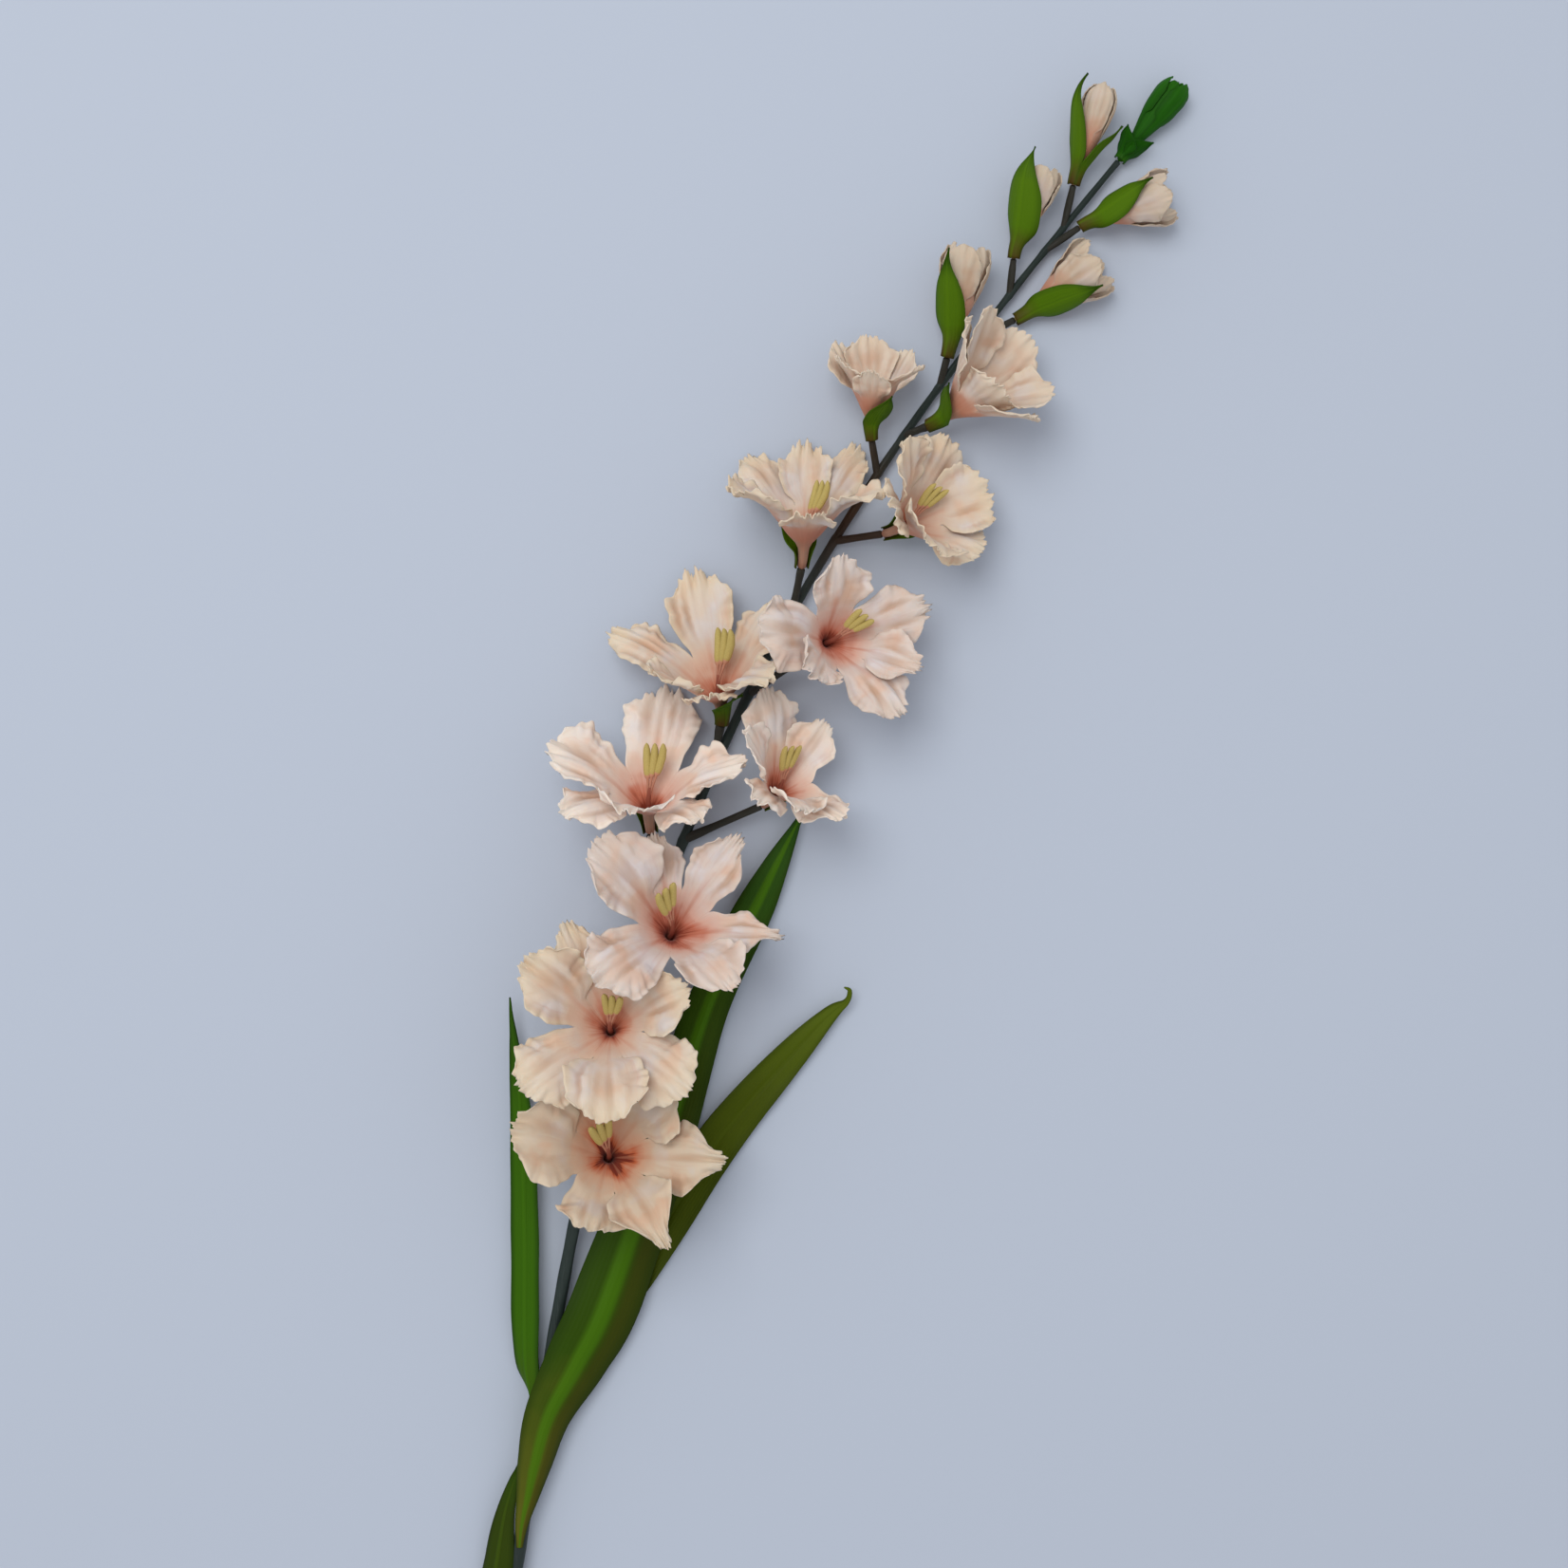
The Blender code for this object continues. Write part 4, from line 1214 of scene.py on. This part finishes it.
        # The waves start at different phases, so that their crests don't line up.
        ruffle = math.sin(self.ruffles.count * turn_in_blade + tepal.phase) + whorl.bias
        frill = math.sin(self.frills.count * turn_in_blade + 3 * tepal.phase + 2 * ragged)
        crimp = math.sin(self.crimps.count * turn_in_blade + 2 * tepal.phase)
        crimp *= self.crimp_base + ragged
        keel = self.keel * (1 - across ** 2) * smooth(along, self.keel_from, line.sinus)
        rounding = mix(self.bud_rounding, self.rounding, smooth(opened, *self.rounds))
        along -= line.blade * share * (1 - lobe.length * (1 - rounding * (across * share) ** 2))
        worn = sum(amount * wave for amount, wave in zip(self.tip_wear, (frill, crimp, ragged)))
        along += worn * share ** self.tip_power * smooth(opened, *self.tip_wears)
        radius, height, slope = line.at(along)
        seam = radius * (tepal.after if across > 0 else tepal.before)
        closed = smooth(opened, *CLOSES)
        widest = whorl.half_width * lobe.width * mix(1.0, self.bud_width, closed)
        middle = math.radians(lobe.angle)
        offset = whorl.offset * mix(1.0, self.bud_offset, closed)
        offset *= mix(keel, 1.0, smooth(share, 0.0, self.keel_ends))
        half = mix(
            seam * (1 - self.cleft * smooth(share, 0.0, self.cleft_end)),
            min(widest * self.blade_width(share, lobe.taper), self.width_limit * (radius - abs(offset))),
            smooth(share, *self.feet_part),
        )
        waved = self.width_wear[0] * frill + self.width_wear[1] * crimp
        half *= 1 + waved * smooth(share, *self.width_wears) * opened
        turn = middle + across * half / radius if radius > 0 else middle
        freed = smooth(share, *self.frees_along) * smooth(opened, *self.frees_opened)
        edge = smooth(share, *self.edge_from) * opened * lobe.length
        lift = offset + self.pleat * self.fold(tepal, across, share)
        for wave, swing in ((self.ruffles, ruffle), (self.frills, frill), (self.crimps, crimp)):
            lift += wave.height * swing * rim ** wave.power * edge
        rounded = Vector((radius * math.cos(turn), radius * math.sin(turn), height))
        rounded += lift * Vector((
            -math.cos(slope) * math.cos(turn), -math.cos(slope) * math.sin(turn), math.sin(slope),
        ))
        if freed == 0:
            return rounded
        outward = Vector((math.cos(middle), math.sin(middle), 0.0))
        sideways = Vector((-outward.y, outward.x, 0.0))
        inward = UP * math.sin(slope) - outward * math.cos(slope)
        bend = across * half / whorl.cup
        free = outward * radius + UP * height + sideways * whorl.cup * math.sin(bend)
        free += inward * (whorl.cup * (1 - math.cos(bend)) + lift)
        return rounded.lerp(free, freed)

    def build(self, inside: Material, outside: Material) -> Object:
        """Makes the tepals as one thin cloth.

        Args:
            inside: the finish of the face towards the mouth.
            outside: the finish of its back.

        Returns:
            The piece.
        """
        seat = Seat.of(self.bloom)
        skin = Skin(self.bloom.name + "_tepals")
        rows = self.tube_rows + self.blade_rows
        for tepal in self.tepals:
            line = MiddleLine(self.bloom.opened, tepal.lobe.spread)
            split = self.tube_rows / rows

            def distance(share: float) -> float:
                """How many millimetres from the base this share of the rows is."""
                free = max(0.0, share - split) / (1 - split)
                return line.sinus * min(1.0, share / split) + line.blade * free

            def place(across: float, share: float) -> Vector:
                """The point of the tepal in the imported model's frame.

                Args:
                    across: from -1 to 1 between its edges.
                    share: the share of the rows.

                Returns:
                    The point.
                """
                along = distance(share)
                point = seat.place(self.point(tepal, line, across, along))
                pressed = smooth(along, line.sinus, line.sinus + self.surface_from * line.blade)
                return off_surface(point, pressed)

            def mark(across: float, share: float) -> Triple:
                """What the cloth reads there.

                Args:
                    across: from -1 to 1 between its edges.
                    share: the share of the rows.

                Returns:
                    (place across, share of the length less the dye's reach, height of the fold).
                """
                along = distance(share)
                free = max(0.0, (along - line.sinus) / line.blade)
                reach = along / (line.sinus + line.blade)
                dyed = tepal.lobe.dye * (1 - across ** 2) * smooth(reach, *self.dye_fades)
                return across, reach - dyed, self.fold(tepal, across, free)

            skin.add_grid(self.columns, rows, place, mark)
        return skin.finish("petal", [self.bloom.name], [inside, outside], self.thickness, seat.mouth)


@dataclass(frozen=True)
class BractBlade:
    """A cupped, pointed green blade that clasps a bloom's base and lies along its outside.

    Lengths are in millimetres, and shares are of the bract's length.
    """

    bloom: Bloom
    bract: Bract
    number: int
    width_at_foot: float = 0.7
    fullest_at: float = 0.35
    point: float = 2.6
    foot: float = 3.0
    offset: float = 1.45
    widens: float = 3.6
    reach: float = math.radians(120)
    paired_reach: float = math.radians(70)
    cup: float = 16.0
    spread: float = 5.0
    frees: Pair = (0.1, 0.5)
    pleat: float = 0.14
    pleat_count: int = 4
    pleats_from: Pair = (0.1, 0.3)
    wave: float = 0.5
    wave_turns: float = 11.0
    thickness: float = 0.6 * MM
    columns: int = 20
    rows: int = 32

    def half_width(self, share: float) -> float:
        """Half the width against its widest: full low down and drawn out to a point."""
        grown = mix(self.width_at_foot, 1.0, smooth(share, 0.0, self.fullest_at))
        return grown * (1 - smooth(share, self.fullest_at, 1.0) ** self.point)

    def build(self, finish: Material) -> Object:
        """Makes the bract.

        Args:
            finish: the finish of both its faces.

        Returns:
            The piece.
        """
        bloom, bract = self.bloom, self.bract
        node = f"{bloom.name}_bract_{self.number}"
        seat = Seat.of(bloom)
        line = MiddleLine(bloom.opened, self.spread * bloom.opened)
        up = (UP - seat.mouth * UP.dot(seat.mouth)).normalized()
        right = seat.mouth.cross(up)
        side = math.radians(bract.side)
        facing = right * math.cos(side) + up * math.sin(side)
        middle = math.atan2(facing.dot(seat.dorsal), facing.dot(seat.across))
        outward = Vector((math.cos(middle), math.sin(middle), 0.0))
        sideways = Vector((-outward.y, outward.x, 0.0))
        phase = random.Random(node).uniform(0, math.tau)
        reach = self.reach if len(bloom.bracts) == 1 else self.paired_reach

        def place(across: float, share: float) -> Vector:
            """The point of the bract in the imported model's frame.

            Args:
                across: from -1 to 1 between its edges.
                share: the share of its length.

            Returns:
                The point.
            """
            radius, height, slope = line.at(self.foot + share * bract.length / bloom.size)
            outside = self.offset + (self.widens + bract.flare) * share ** 2
            pleats = math.cos(math.tau * self.pleat_count * across)
            outside += self.pleat * pleats * smooth(share, *self.pleats_from)
            waves = math.sin(self.wave_turns * share + phase + across)
            outside += self.wave * across ** 2 * waves * share
            outside /= bloom.size
            half = bract.half_width / bloom.size * self.half_width(share)
            wide = radius + outside * math.cos(slope)
            height -= outside * math.sin(slope)
            turn = middle + across * min(reach, half / wide)
            clasped = Vector((wide * math.cos(turn), wide * math.sin(turn), height))
            bend = across * half / self.cup
            free = outward * (wide - self.cup * (1 - math.cos(bend)) * math.cos(slope))
            free += sideways * self.cup * math.sin(bend) + UP * height
            return off_surface(seat.place(clasped.lerp(free, smooth(share, *self.frees))), share)

        skin = Skin(node + "_blade")
        skin.add_grid(
            self.columns, self.rows, place, lambda across, share: (abs(across), share, across),
        )
        return skin.finish("bract_green", [node], [finish], self.thickness)


@dataclass(frozen=True)
class Stamens:
    """Three stamens on a column in the tube, leaning to the upper tepals.

    foot and root are millimetres along the tube, and the other lengths are heights in it for size 1.
    The marks are what the finish reads: at the top of the column, at the top of a filament and on
    an anther.
    """

    bloom: Bloom
    foot: float = 13.0
    root: float = 18.5
    column_top: float = 27.0
    fork: float = 19.0
    tip: float = 48.0
    anther: tuple[tuple[float, float], ...] = (
        (31.5, 0.7), (32.5, 1.4), (35.0, 1.9), (40.0, 2.0), (44.5, 1.7), (46.8, 1.1), (48.0, 0.4),
    )
    stagger: float = 1.0
    lean: float = 12.0
    spread: float = 4.2
    straight_foot: float = 2.0
    straight_tip: float = 1.5
    column_mark: float = 0.1
    filament_mark: float = 0.6
    anther_mark: float = 0.8
    anther_after: float = 0.1
    column_radius: float = 1.3
    column_top_radius: float = 1.0
    filament_radius: float = 0.6
    sides: int = 12
    steps: int = 8

    def build(self, finish: Material) -> Object:
        """Makes the column, the filaments and the anthers as one piece.

        Args:
            finish: the finish of all of them.

        Returns:
            The piece.
        """
        seat = Seat.of(self.bloom)
        line = MiddleLine(self.bloom.opened)
        root = line.at(self.root)[1]

        def centre(side: int, height: float) -> Vector:
            """The middle of a filament.

            Args:
                side: -1 and 1 for the outer ones, 0 for the middle one and the column.
                height: millimetres up the tube.

            Returns:
                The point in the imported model's frame.
            """
            share = smooth(height, root + self.straight_foot, self.tip - self.straight_tip)
            return seat.place(Vector((side * self.spread * share, self.lean * share, height)))

        def rings(side: int, steps: Sequence[tuple[float, float]]) -> list:
            """The rings of a filament.

            Args:
                side: which filament.
                steps: (height, radius) in millimetres.

            Returns:
                (centre, right, up, radius) of each ring.
            """
            points = [centre(side, height) for height, _ in steps]
            made = []
            for i, (_, radius) in enumerate(steps):
                ahead = points[min(i + 1, len(points) - 1)] - points[max(i - 1, 0)]
                right = ahead.cross(seat.dorsal).normalized()
                made.append((points[i], right, right.cross(ahead).normalized(), radius * MM))
            return made

        skin = Skin(self.bloom.name + "_anthers")
        foot = line.at(self.foot)[1]
        shares = [i / self.steps for i in range(self.steps + 1)]
        column = [
            (mix(foot, self.column_top, t), mix(self.column_radius, self.column_top_radius, t))
            for t in shares
        ]
        skin.add_tube(
            rings(0, column), self.sides, lambda turn, share: (0.0, self.column_mark * share, 0.0),
        )
        filament = [(mix(self.fork, self.anther[0][0], t), self.filament_radius) for t in shares[:-1]]
        anther = [(height, radius * self.bloom.size) for height, radius in self.anther]
        split = len(filament) / len(filament + anther) + self.anther_after

        def mark(turn: float, share: float) -> Triple:
            """The filament's mark below the anther and the anther's on it."""
            return 0.0, self.filament_mark * share if share < split else self.anther_mark, 0.0

        for side in (-1, 0, 1):
            whole = [(h + side * self.stagger * (h > self.fork), r) for h, r in filament + anther]
            skin.add_tube(rings(side, whole), self.sides, mark)
        return skin.finish("pollen", [self.bloom.name + "_stamens"], [finish])


@dataclass(frozen=True)
class Station:
    """One place along a leaf, in millimetres and degrees.

    right is measured from the stem's centre line and height from the surface. facing is where the
    outside of the leaf looks, with 0 to the right and 90 straight up, and its two edges curl away
    from that side at the radius curl.
    """

    along: float
    right: float
    height: float
    facing: float
    half_width: float
    curl: float

    @classmethod
    def clasping(cls, along: float, side: float, radius: float, half_width: float) -> "Station":
        """A station where the leaf lies round the stem.

        Args:
            along: millimetres from the cut end.
            side: where its middle is, in degrees round the stem from its right.
            radius: millimetres from the stem's centre.
            half_width: half its width in millimetres.

        Returns:
            The station.
        """
        turn = math.radians(side)
        height = LINE.height(along * MM) / MM + radius * math.sin(turn)
        return cls(along, radius * math.cos(turn), height, side, half_width, radius)


@dataclass(frozen=True)
class SwordLeaf:
    """A sword leaf whose foot clasps the stem, with a raised midrib and gently waved edges."""

    name: str
    stations: tuple[Station, ...]
    finish: LeafVinyl
    rib_height: float = 0.55
    rib_share: float = 0.22
    rib_grows: Pair = (2.0, 8.0)
    wave: float = 0.5
    wave_length: float = 38.0
    wave_ends: Pair = (0.6, 0.3)
    look_round: float = 0.1
    thickness: float = 0.8 * MM
    columns: int = 28
    rows_each: int = 12

    def between(self, place: float) -> list[float]:
        """The values of the stations, smoothly between them.

        Args:
            place: which station, where 1.5 is between 1 and 2.

        Returns:
            along, right, height, facing and half_width there, and 1 / curl.
        """
        last = len(self.stations) - 1
        i = min(int(place), last - 1)
        t = place - i
        near = [self.stations[min(max(k, 0), last)] for k in range(i - 1, i + 3)]
        rows = [(s.along, s.right, s.height, s.facing, s.half_width, 1 / s.curl) for s in near]
        values = []
        for a, b, c, d in zip(*rows):
            bow = (2 * a - 5 * b + 4 * c - d) * t * t + (3 * b - a - 3 * c + d) * t * t * t
            values.append(0.5 * (2 * b + (c - a) * t + bow))
        return values

    def middle(self, place: float) -> Vector:
        """The leaf's middle line at this place."""
        return LINE.beside(*self.between(place)[:3])

    def build(self) -> Object:
        """Makes the leaf.

        Returns:
            The piece.
        """
        last = len(self.stations) - 1
        begins, ends = self.stations[0].along, self.stations[-1].along

        def place(across: float, share: float) -> Vector:
            """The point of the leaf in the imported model's frame.

            Args:
                across: from -1 to 1 between its edges.
                share: the share of the stations.

            Returns:
                The point.
            """
            at = share * last
            along, _, _, facing, half, curl = self.between(at)
            half = max(half, 0.0)
            after, before = min(at + self.look_round, last), max(at - self.look_round, 0)
            ahead = self.middle(after) - self.middle(before)
            level = ahead.cross(UP).normalized()
            lifted = level.cross(ahead).normalized()
            turn = math.radians(facing)
            outside = level * math.cos(turn) + lifted * math.sin(turn)
            sideways = level * math.sin(turn) - lifted * math.cos(turn)
            bend = across * half * curl
            rib = self.rib_height * (1 - smooth(abs(across), 0.0, self.rib_share))
            waved = self.wave * across ** 2 * math.sin(math.tau * along / self.wave_length + 2 * across)
            lift = rib * smooth(half, *self.rib_grows) + waved * smooth(half * curl, *self.wave_ends)
            point = self.middle(at)
            point += (sideways * math.sin(bend) - outside * (1 - math.cos(bend))) / curl * MM
            return off_surface(point + outside * lift * MM, 1.0, LEAF_SOFTNESS)

        def mark(across: float, share: float) -> Triple:
            """What the vinyl reads there.

            Args:
                across: from -1 to 1 between the edges.
                share: the share of the stations.

            Returns:
                (distance from the midrib, share of the length, place across).
            """
            along = self.between(share * last)[0]
            return abs(across), (along - begins) / (ends - begins), across

        skin = Skin(self.name + "_blade")
        skin.add_grid(self.columns, self.rows_each * last, place, mark)
        return skin.finish("leaf_green", [self.name], [self.finish.material()], self.thickness)


# The radius at which leaves clasp the stem, in millimetres.
CLASP = 4.5
LEAVES = (
    SwordLeaf(
        "leaf_left",
        (
            Station.clasping(214, 172, CLASP, 4.5),
            Station.clasping(238, 168, CLASP, 6),
            Station(263, -12, 10, 115, 7, 20),
            Station(322, -23, 10, 100, 7, 40),
            Station(375, -36, 10, 95, 5.5, 40),
            Station(429, -56, 10, 95, 0, 40),
        ),
        LEAF,
    ),
    SwordLeaf(
        "leaf_right",
        (
            Station.clasping(205, -45, CLASP, 3.5),
            Station.clasping(238, -45, 5.2, 5),
            Station(275, 18, 3.5, -75, 9, 25),
            Station(329, 40, 2.7, -88, 11, 60),
            Station(385, 60, 3.5, -90, 11, 60),
            Station(437, 83, 4.5, -90, 8, 50),
            Station(466, 96, 6, -90, 4, 40),
            Station(475.5, 101.7, 7.5, -90, 1.6, 30),
            Station(482, 101.7, 8.5, -90, 0.8, 30),
            Station(483, 98.7, 9, -90, 0, 30),
        ),
        OLIVE_LEAF,
    ),
    SwordLeaf(
        "leaf_tall",
        (
            Station(172, 0.3, 13.8, 85, 1.5, 5),
            Station(184, -0.3, 14.0, 85, 3.3, 5.5),
            Station(200, 0.6, 14.6, 85, 6.6, 8),
            Station(214, 1.4, 15.4, 85, 9.8, 10),
            Station(238, 4.4, 15.8, 78, 12.2, 20),
            Station(266, 14, 15.2, 74, 16.2, 36),
            Station(300, 23.5, 13.8, 79, 17.5, 50),
            Station(386, 35, 9, 90, 13.5, 50),
            Station(452, 38, 8, 90, 10.5, 50),
            Station(511, 45, 7, 90, 9, 40),
            Station(565, 49, 6, 90, 0, 40),
        ),
        TALL_LEAF,
    ),
    SwordLeaf(
        "leaf_sheath",
        (
            Station.clasping(98, 150, CLASP, 3),
            Station.clasping(120, 145, CLASP, 7),
            Station(142, -9, 11.5, 118, 9.5, 12),
            Station(165, -9.5, 11.5, 112, 8, 14),
            Station(186, -9.5, 10.5, 106, 5, 16),
            Station(203, -7.5, 10, 102, 2.4, 20),
            Station(213, -6, 9.5, 100, 0, 20),
        ),
        SHEATH,
    ),
)


@dataclass(frozen=True)
class StemSkin:
    """The stem with its small nubs and the stalk of every bloom."""

    blooms: tuple[Bloom, ...]
    sides: int = 32
    ring_step: float = 3 * MM
    nub: float = 0.16
    nub_length: float = 2.2 * MM
    sway: float = 0.035
    sway_length: float = 4.3 * MM
    brown_at: float = 0.76
    brown_reach: float = 0.03
    stalk_sides: int = 20
    stalk_rings: int = 10
    stalk_root: float = 0.95
    stalk_radius: float = 1.8 * MM
    stalk_narrows: Pair = (0.1, 0.5)
    stalk_tinge: Pair = (0.35, 0.6)
    ovary_radius: float = 2.3 * MM
    ovary_swells: Pair = (0.7, 0.95)
    bloom_clearance: float = 0.2 * MM
    surface_gap: float = 0.05 * MM

    def radius(self, along: float) -> float:
        """The radius with its nubs and a faint unevenness, clear of the surface.

        Args:
            along: metres from the cut end.

        Returns:
            The radius in metres.
        """
        swell = sum(
            self.nub * math.exp(-((along - bloom.along * MM) / self.nub_length) ** 2)
            for bloom in self.blooms
        )
        uneven = LINE.radius(along) * (1 + swell + self.sway * math.sin(along / self.sway_length))
        return min(uneven, LINE.height(along) - self.surface_gap)

    def brown(self, share: float) -> float:
        """How brown the stem is at this share of its length."""
        return math.exp(-((share - self.brown_at) / self.brown_reach) ** 2)

    def build(self, finish: Material) -> Object:
        """Makes the stem and its stalks as one piece.

        Args:
            finish: the finish of all of it.

        Returns:
            The piece.
        """
        skin = Skin("stem_skin")
        count = round(LINE.length / self.ring_step)
        rings = []
        for i in range(count + 1):
            along = LINE.length * i / count
            right = LINE.level_axes(LINE.heading(along))[0]
            rings.append((LINE.point(along), right, UP, self.radius(along)))
        skin.add_tube(
            rings, self.sides, lambda turn, share: ((turn + 1) / 2, share, self.brown(share)),
        )
        for bloom in self.blooms:
            seat = Seat.of(bloom)
            along = bloom.along * MM
            root = LINE.point(along)
            end = seat.base - seat.stalk * self.bloom_clearance
            right = seat.stalk.cross(UP).normalized()
            up = right.cross(seat.stalk)
            stalk = []
            for i in range(self.stalk_rings + 1):
                share = i / self.stalk_rings
                radius = self.stalk_root * LINE.radius(along)
                radius = mix(radius, self.stalk_radius, smooth(share, *self.stalk_narrows))
                radius = mix(radius, self.ovary_radius * bloom.size, smooth(share, *self.ovary_swells))
                stalk.append((root.lerp(end, share), right, up, radius))
            tinge = self.stalk_tinge[0] + self.stalk_tinge[1] * self.brown(along / LINE.length)
            skin.add_tube(
                stalk, self.stalk_sides, lambda turn, share: ((turn + 1) / 2, share, tinge),
            )
        return skin.finish("stem_green", ["stem"], [finish])


@dataclass(frozen=True)
class Studio:
    """A plain pale floor under soft light from the upper left of the picture, and the camera."""

    aim: Pair = (0.009, 0.086)
    camera_height: float = 1.07
    turn: float = math.radians(20)
    lens: float = 49.87
    sensor: float = 36.0
    floor: str = "#B7BFCB"
    floor_roughness: float = 0.9
    floor_half: float = 3.0
    key_offset: Triple = (-0.55, 0.7, 2.2)
    key_size: float = 1.5
    key_power: float = 25.0
    sky: str = "#ECEEF5"
    sky_strength: float = 0.75

    def on_picture(self, right: float, up: float, height: float) -> Vector:
        """A point by its place on the picture, all in metres.

        Args:
            right: how far right of the picture's middle.
            up: how far above it.
            height: how far over the floor.

        Returns:
            The point.
        """
        cos, sin = math.cos(self.turn), math.sin(self.turn)
        x, y = self.aim
        return Vector((x + right * cos - up * sin, y + right * sin + up * cos, height))

    def build_floor(self) -> Object:
        """Makes the plain surface that the stem lies on.

        Returns:
            The floor.
        """
        bm = bmesh.new()
        bmesh.ops.create_grid(bm, x_segments=1, y_segments=1, size=self.floor_half)
        mesh = bpy.data.meshes.new("floor")
        bm.to_mesh(mesh)
        bm.free()
        paint = Shader("floor_paint").dress(
            {"Base Color": linear(self.floor), "Roughness": self.floor_roughness}, {},
        )
        mesh.materials.append(paint)
        made = bpy.data.objects.new("floor", mesh)
        bpy.context.scene.collection.objects.link(made)
        return made

    def build_light(self) -> None:
        """One large soft lamp and an even sky."""
        lamp = bpy.data.lights.new("key", "AREA")
        lamp.shape = "DISK"
        lamp.size = self.key_size
        lamp.energy = self.key_power
        made = bpy.data.objects.new("key", lamp)
        made.location = self.on_picture(*self.key_offset)
        towards = self.on_picture(0, 0, 0) - made.location
        made.rotation_euler = towards.to_track_quat("-Z", "Y").to_euler()
        bpy.context.scene.collection.objects.link(made)
        world = bpy.data.worlds.new("sky")
        world.use_nodes = True
        sky = world.node_tree.nodes["Background"]
        sky.inputs["Color"].default_value = linear(self.sky)
        sky.inputs["Strength"].default_value = self.sky_strength
        bpy.context.scene.world = world

    def build_camera(self) -> None:
        """The camera looks straight down, turned as the photograph is."""
        lens = bpy.data.cameras.new("camera")
        lens.sensor_width = self.sensor
        lens.lens = self.lens
        made = bpy.data.objects.new("camera", lens)
        made.location = self.on_picture(0, 0, self.camera_height)
        made.rotation_euler = (0.0, 0.0, self.turn)
        bpy.context.scene.collection.objects.link(made)
        bpy.context.scene.camera = made
        bpy.context.scene.view_settings.view_transform = "Standard"


def report(piece: Object) -> None:
    """Logs a finished piece."""
    LOG.info("%s: %d points", piece.name, len(piece.data.vertices))


def main() -> None:
    """Builds every piece in order and logs how many points each has."""
    logging.basicConfig(level=logging.INFO, format="%(message)s")
    studio = Studio()
    studio.build_camera()
    report(studio.build_floor())
    studio.build_light()
    report(StemSkin(FLORETS + BUDS).build(StemPlastic().material()))
    for leaf in LEAVES:
        report(leaf.build())
    cloths = {cloth: cloth.value.material() for cloth in Cloth}
    backs = {cloth: cloth.value.outside().material() for cloth in Cloth if cloth is not Cloth.TIP}
    bract_vinyl = BRACT_VINYL.material()
    flock = StamenFlock().material()
    for bloom in (*FLORETS, *BUDS, TIP):
        cloth = cloths[bloom.cloth]
        report(Corolla(bloom).build(cloth, backs.get(bloom.cloth, cloth)))
        for number, bract in enumerate(bloom.bracts, 1):
            finish = cloth if bloom is TIP else bract_vinyl
            report(BractBlade(bloom, bract, number).build(finish))
    for bloom in FLORETS:
        if bloom.stamens:
            report(Stamens(bloom).build(flock))


if __name__ == "__main__":
    main()
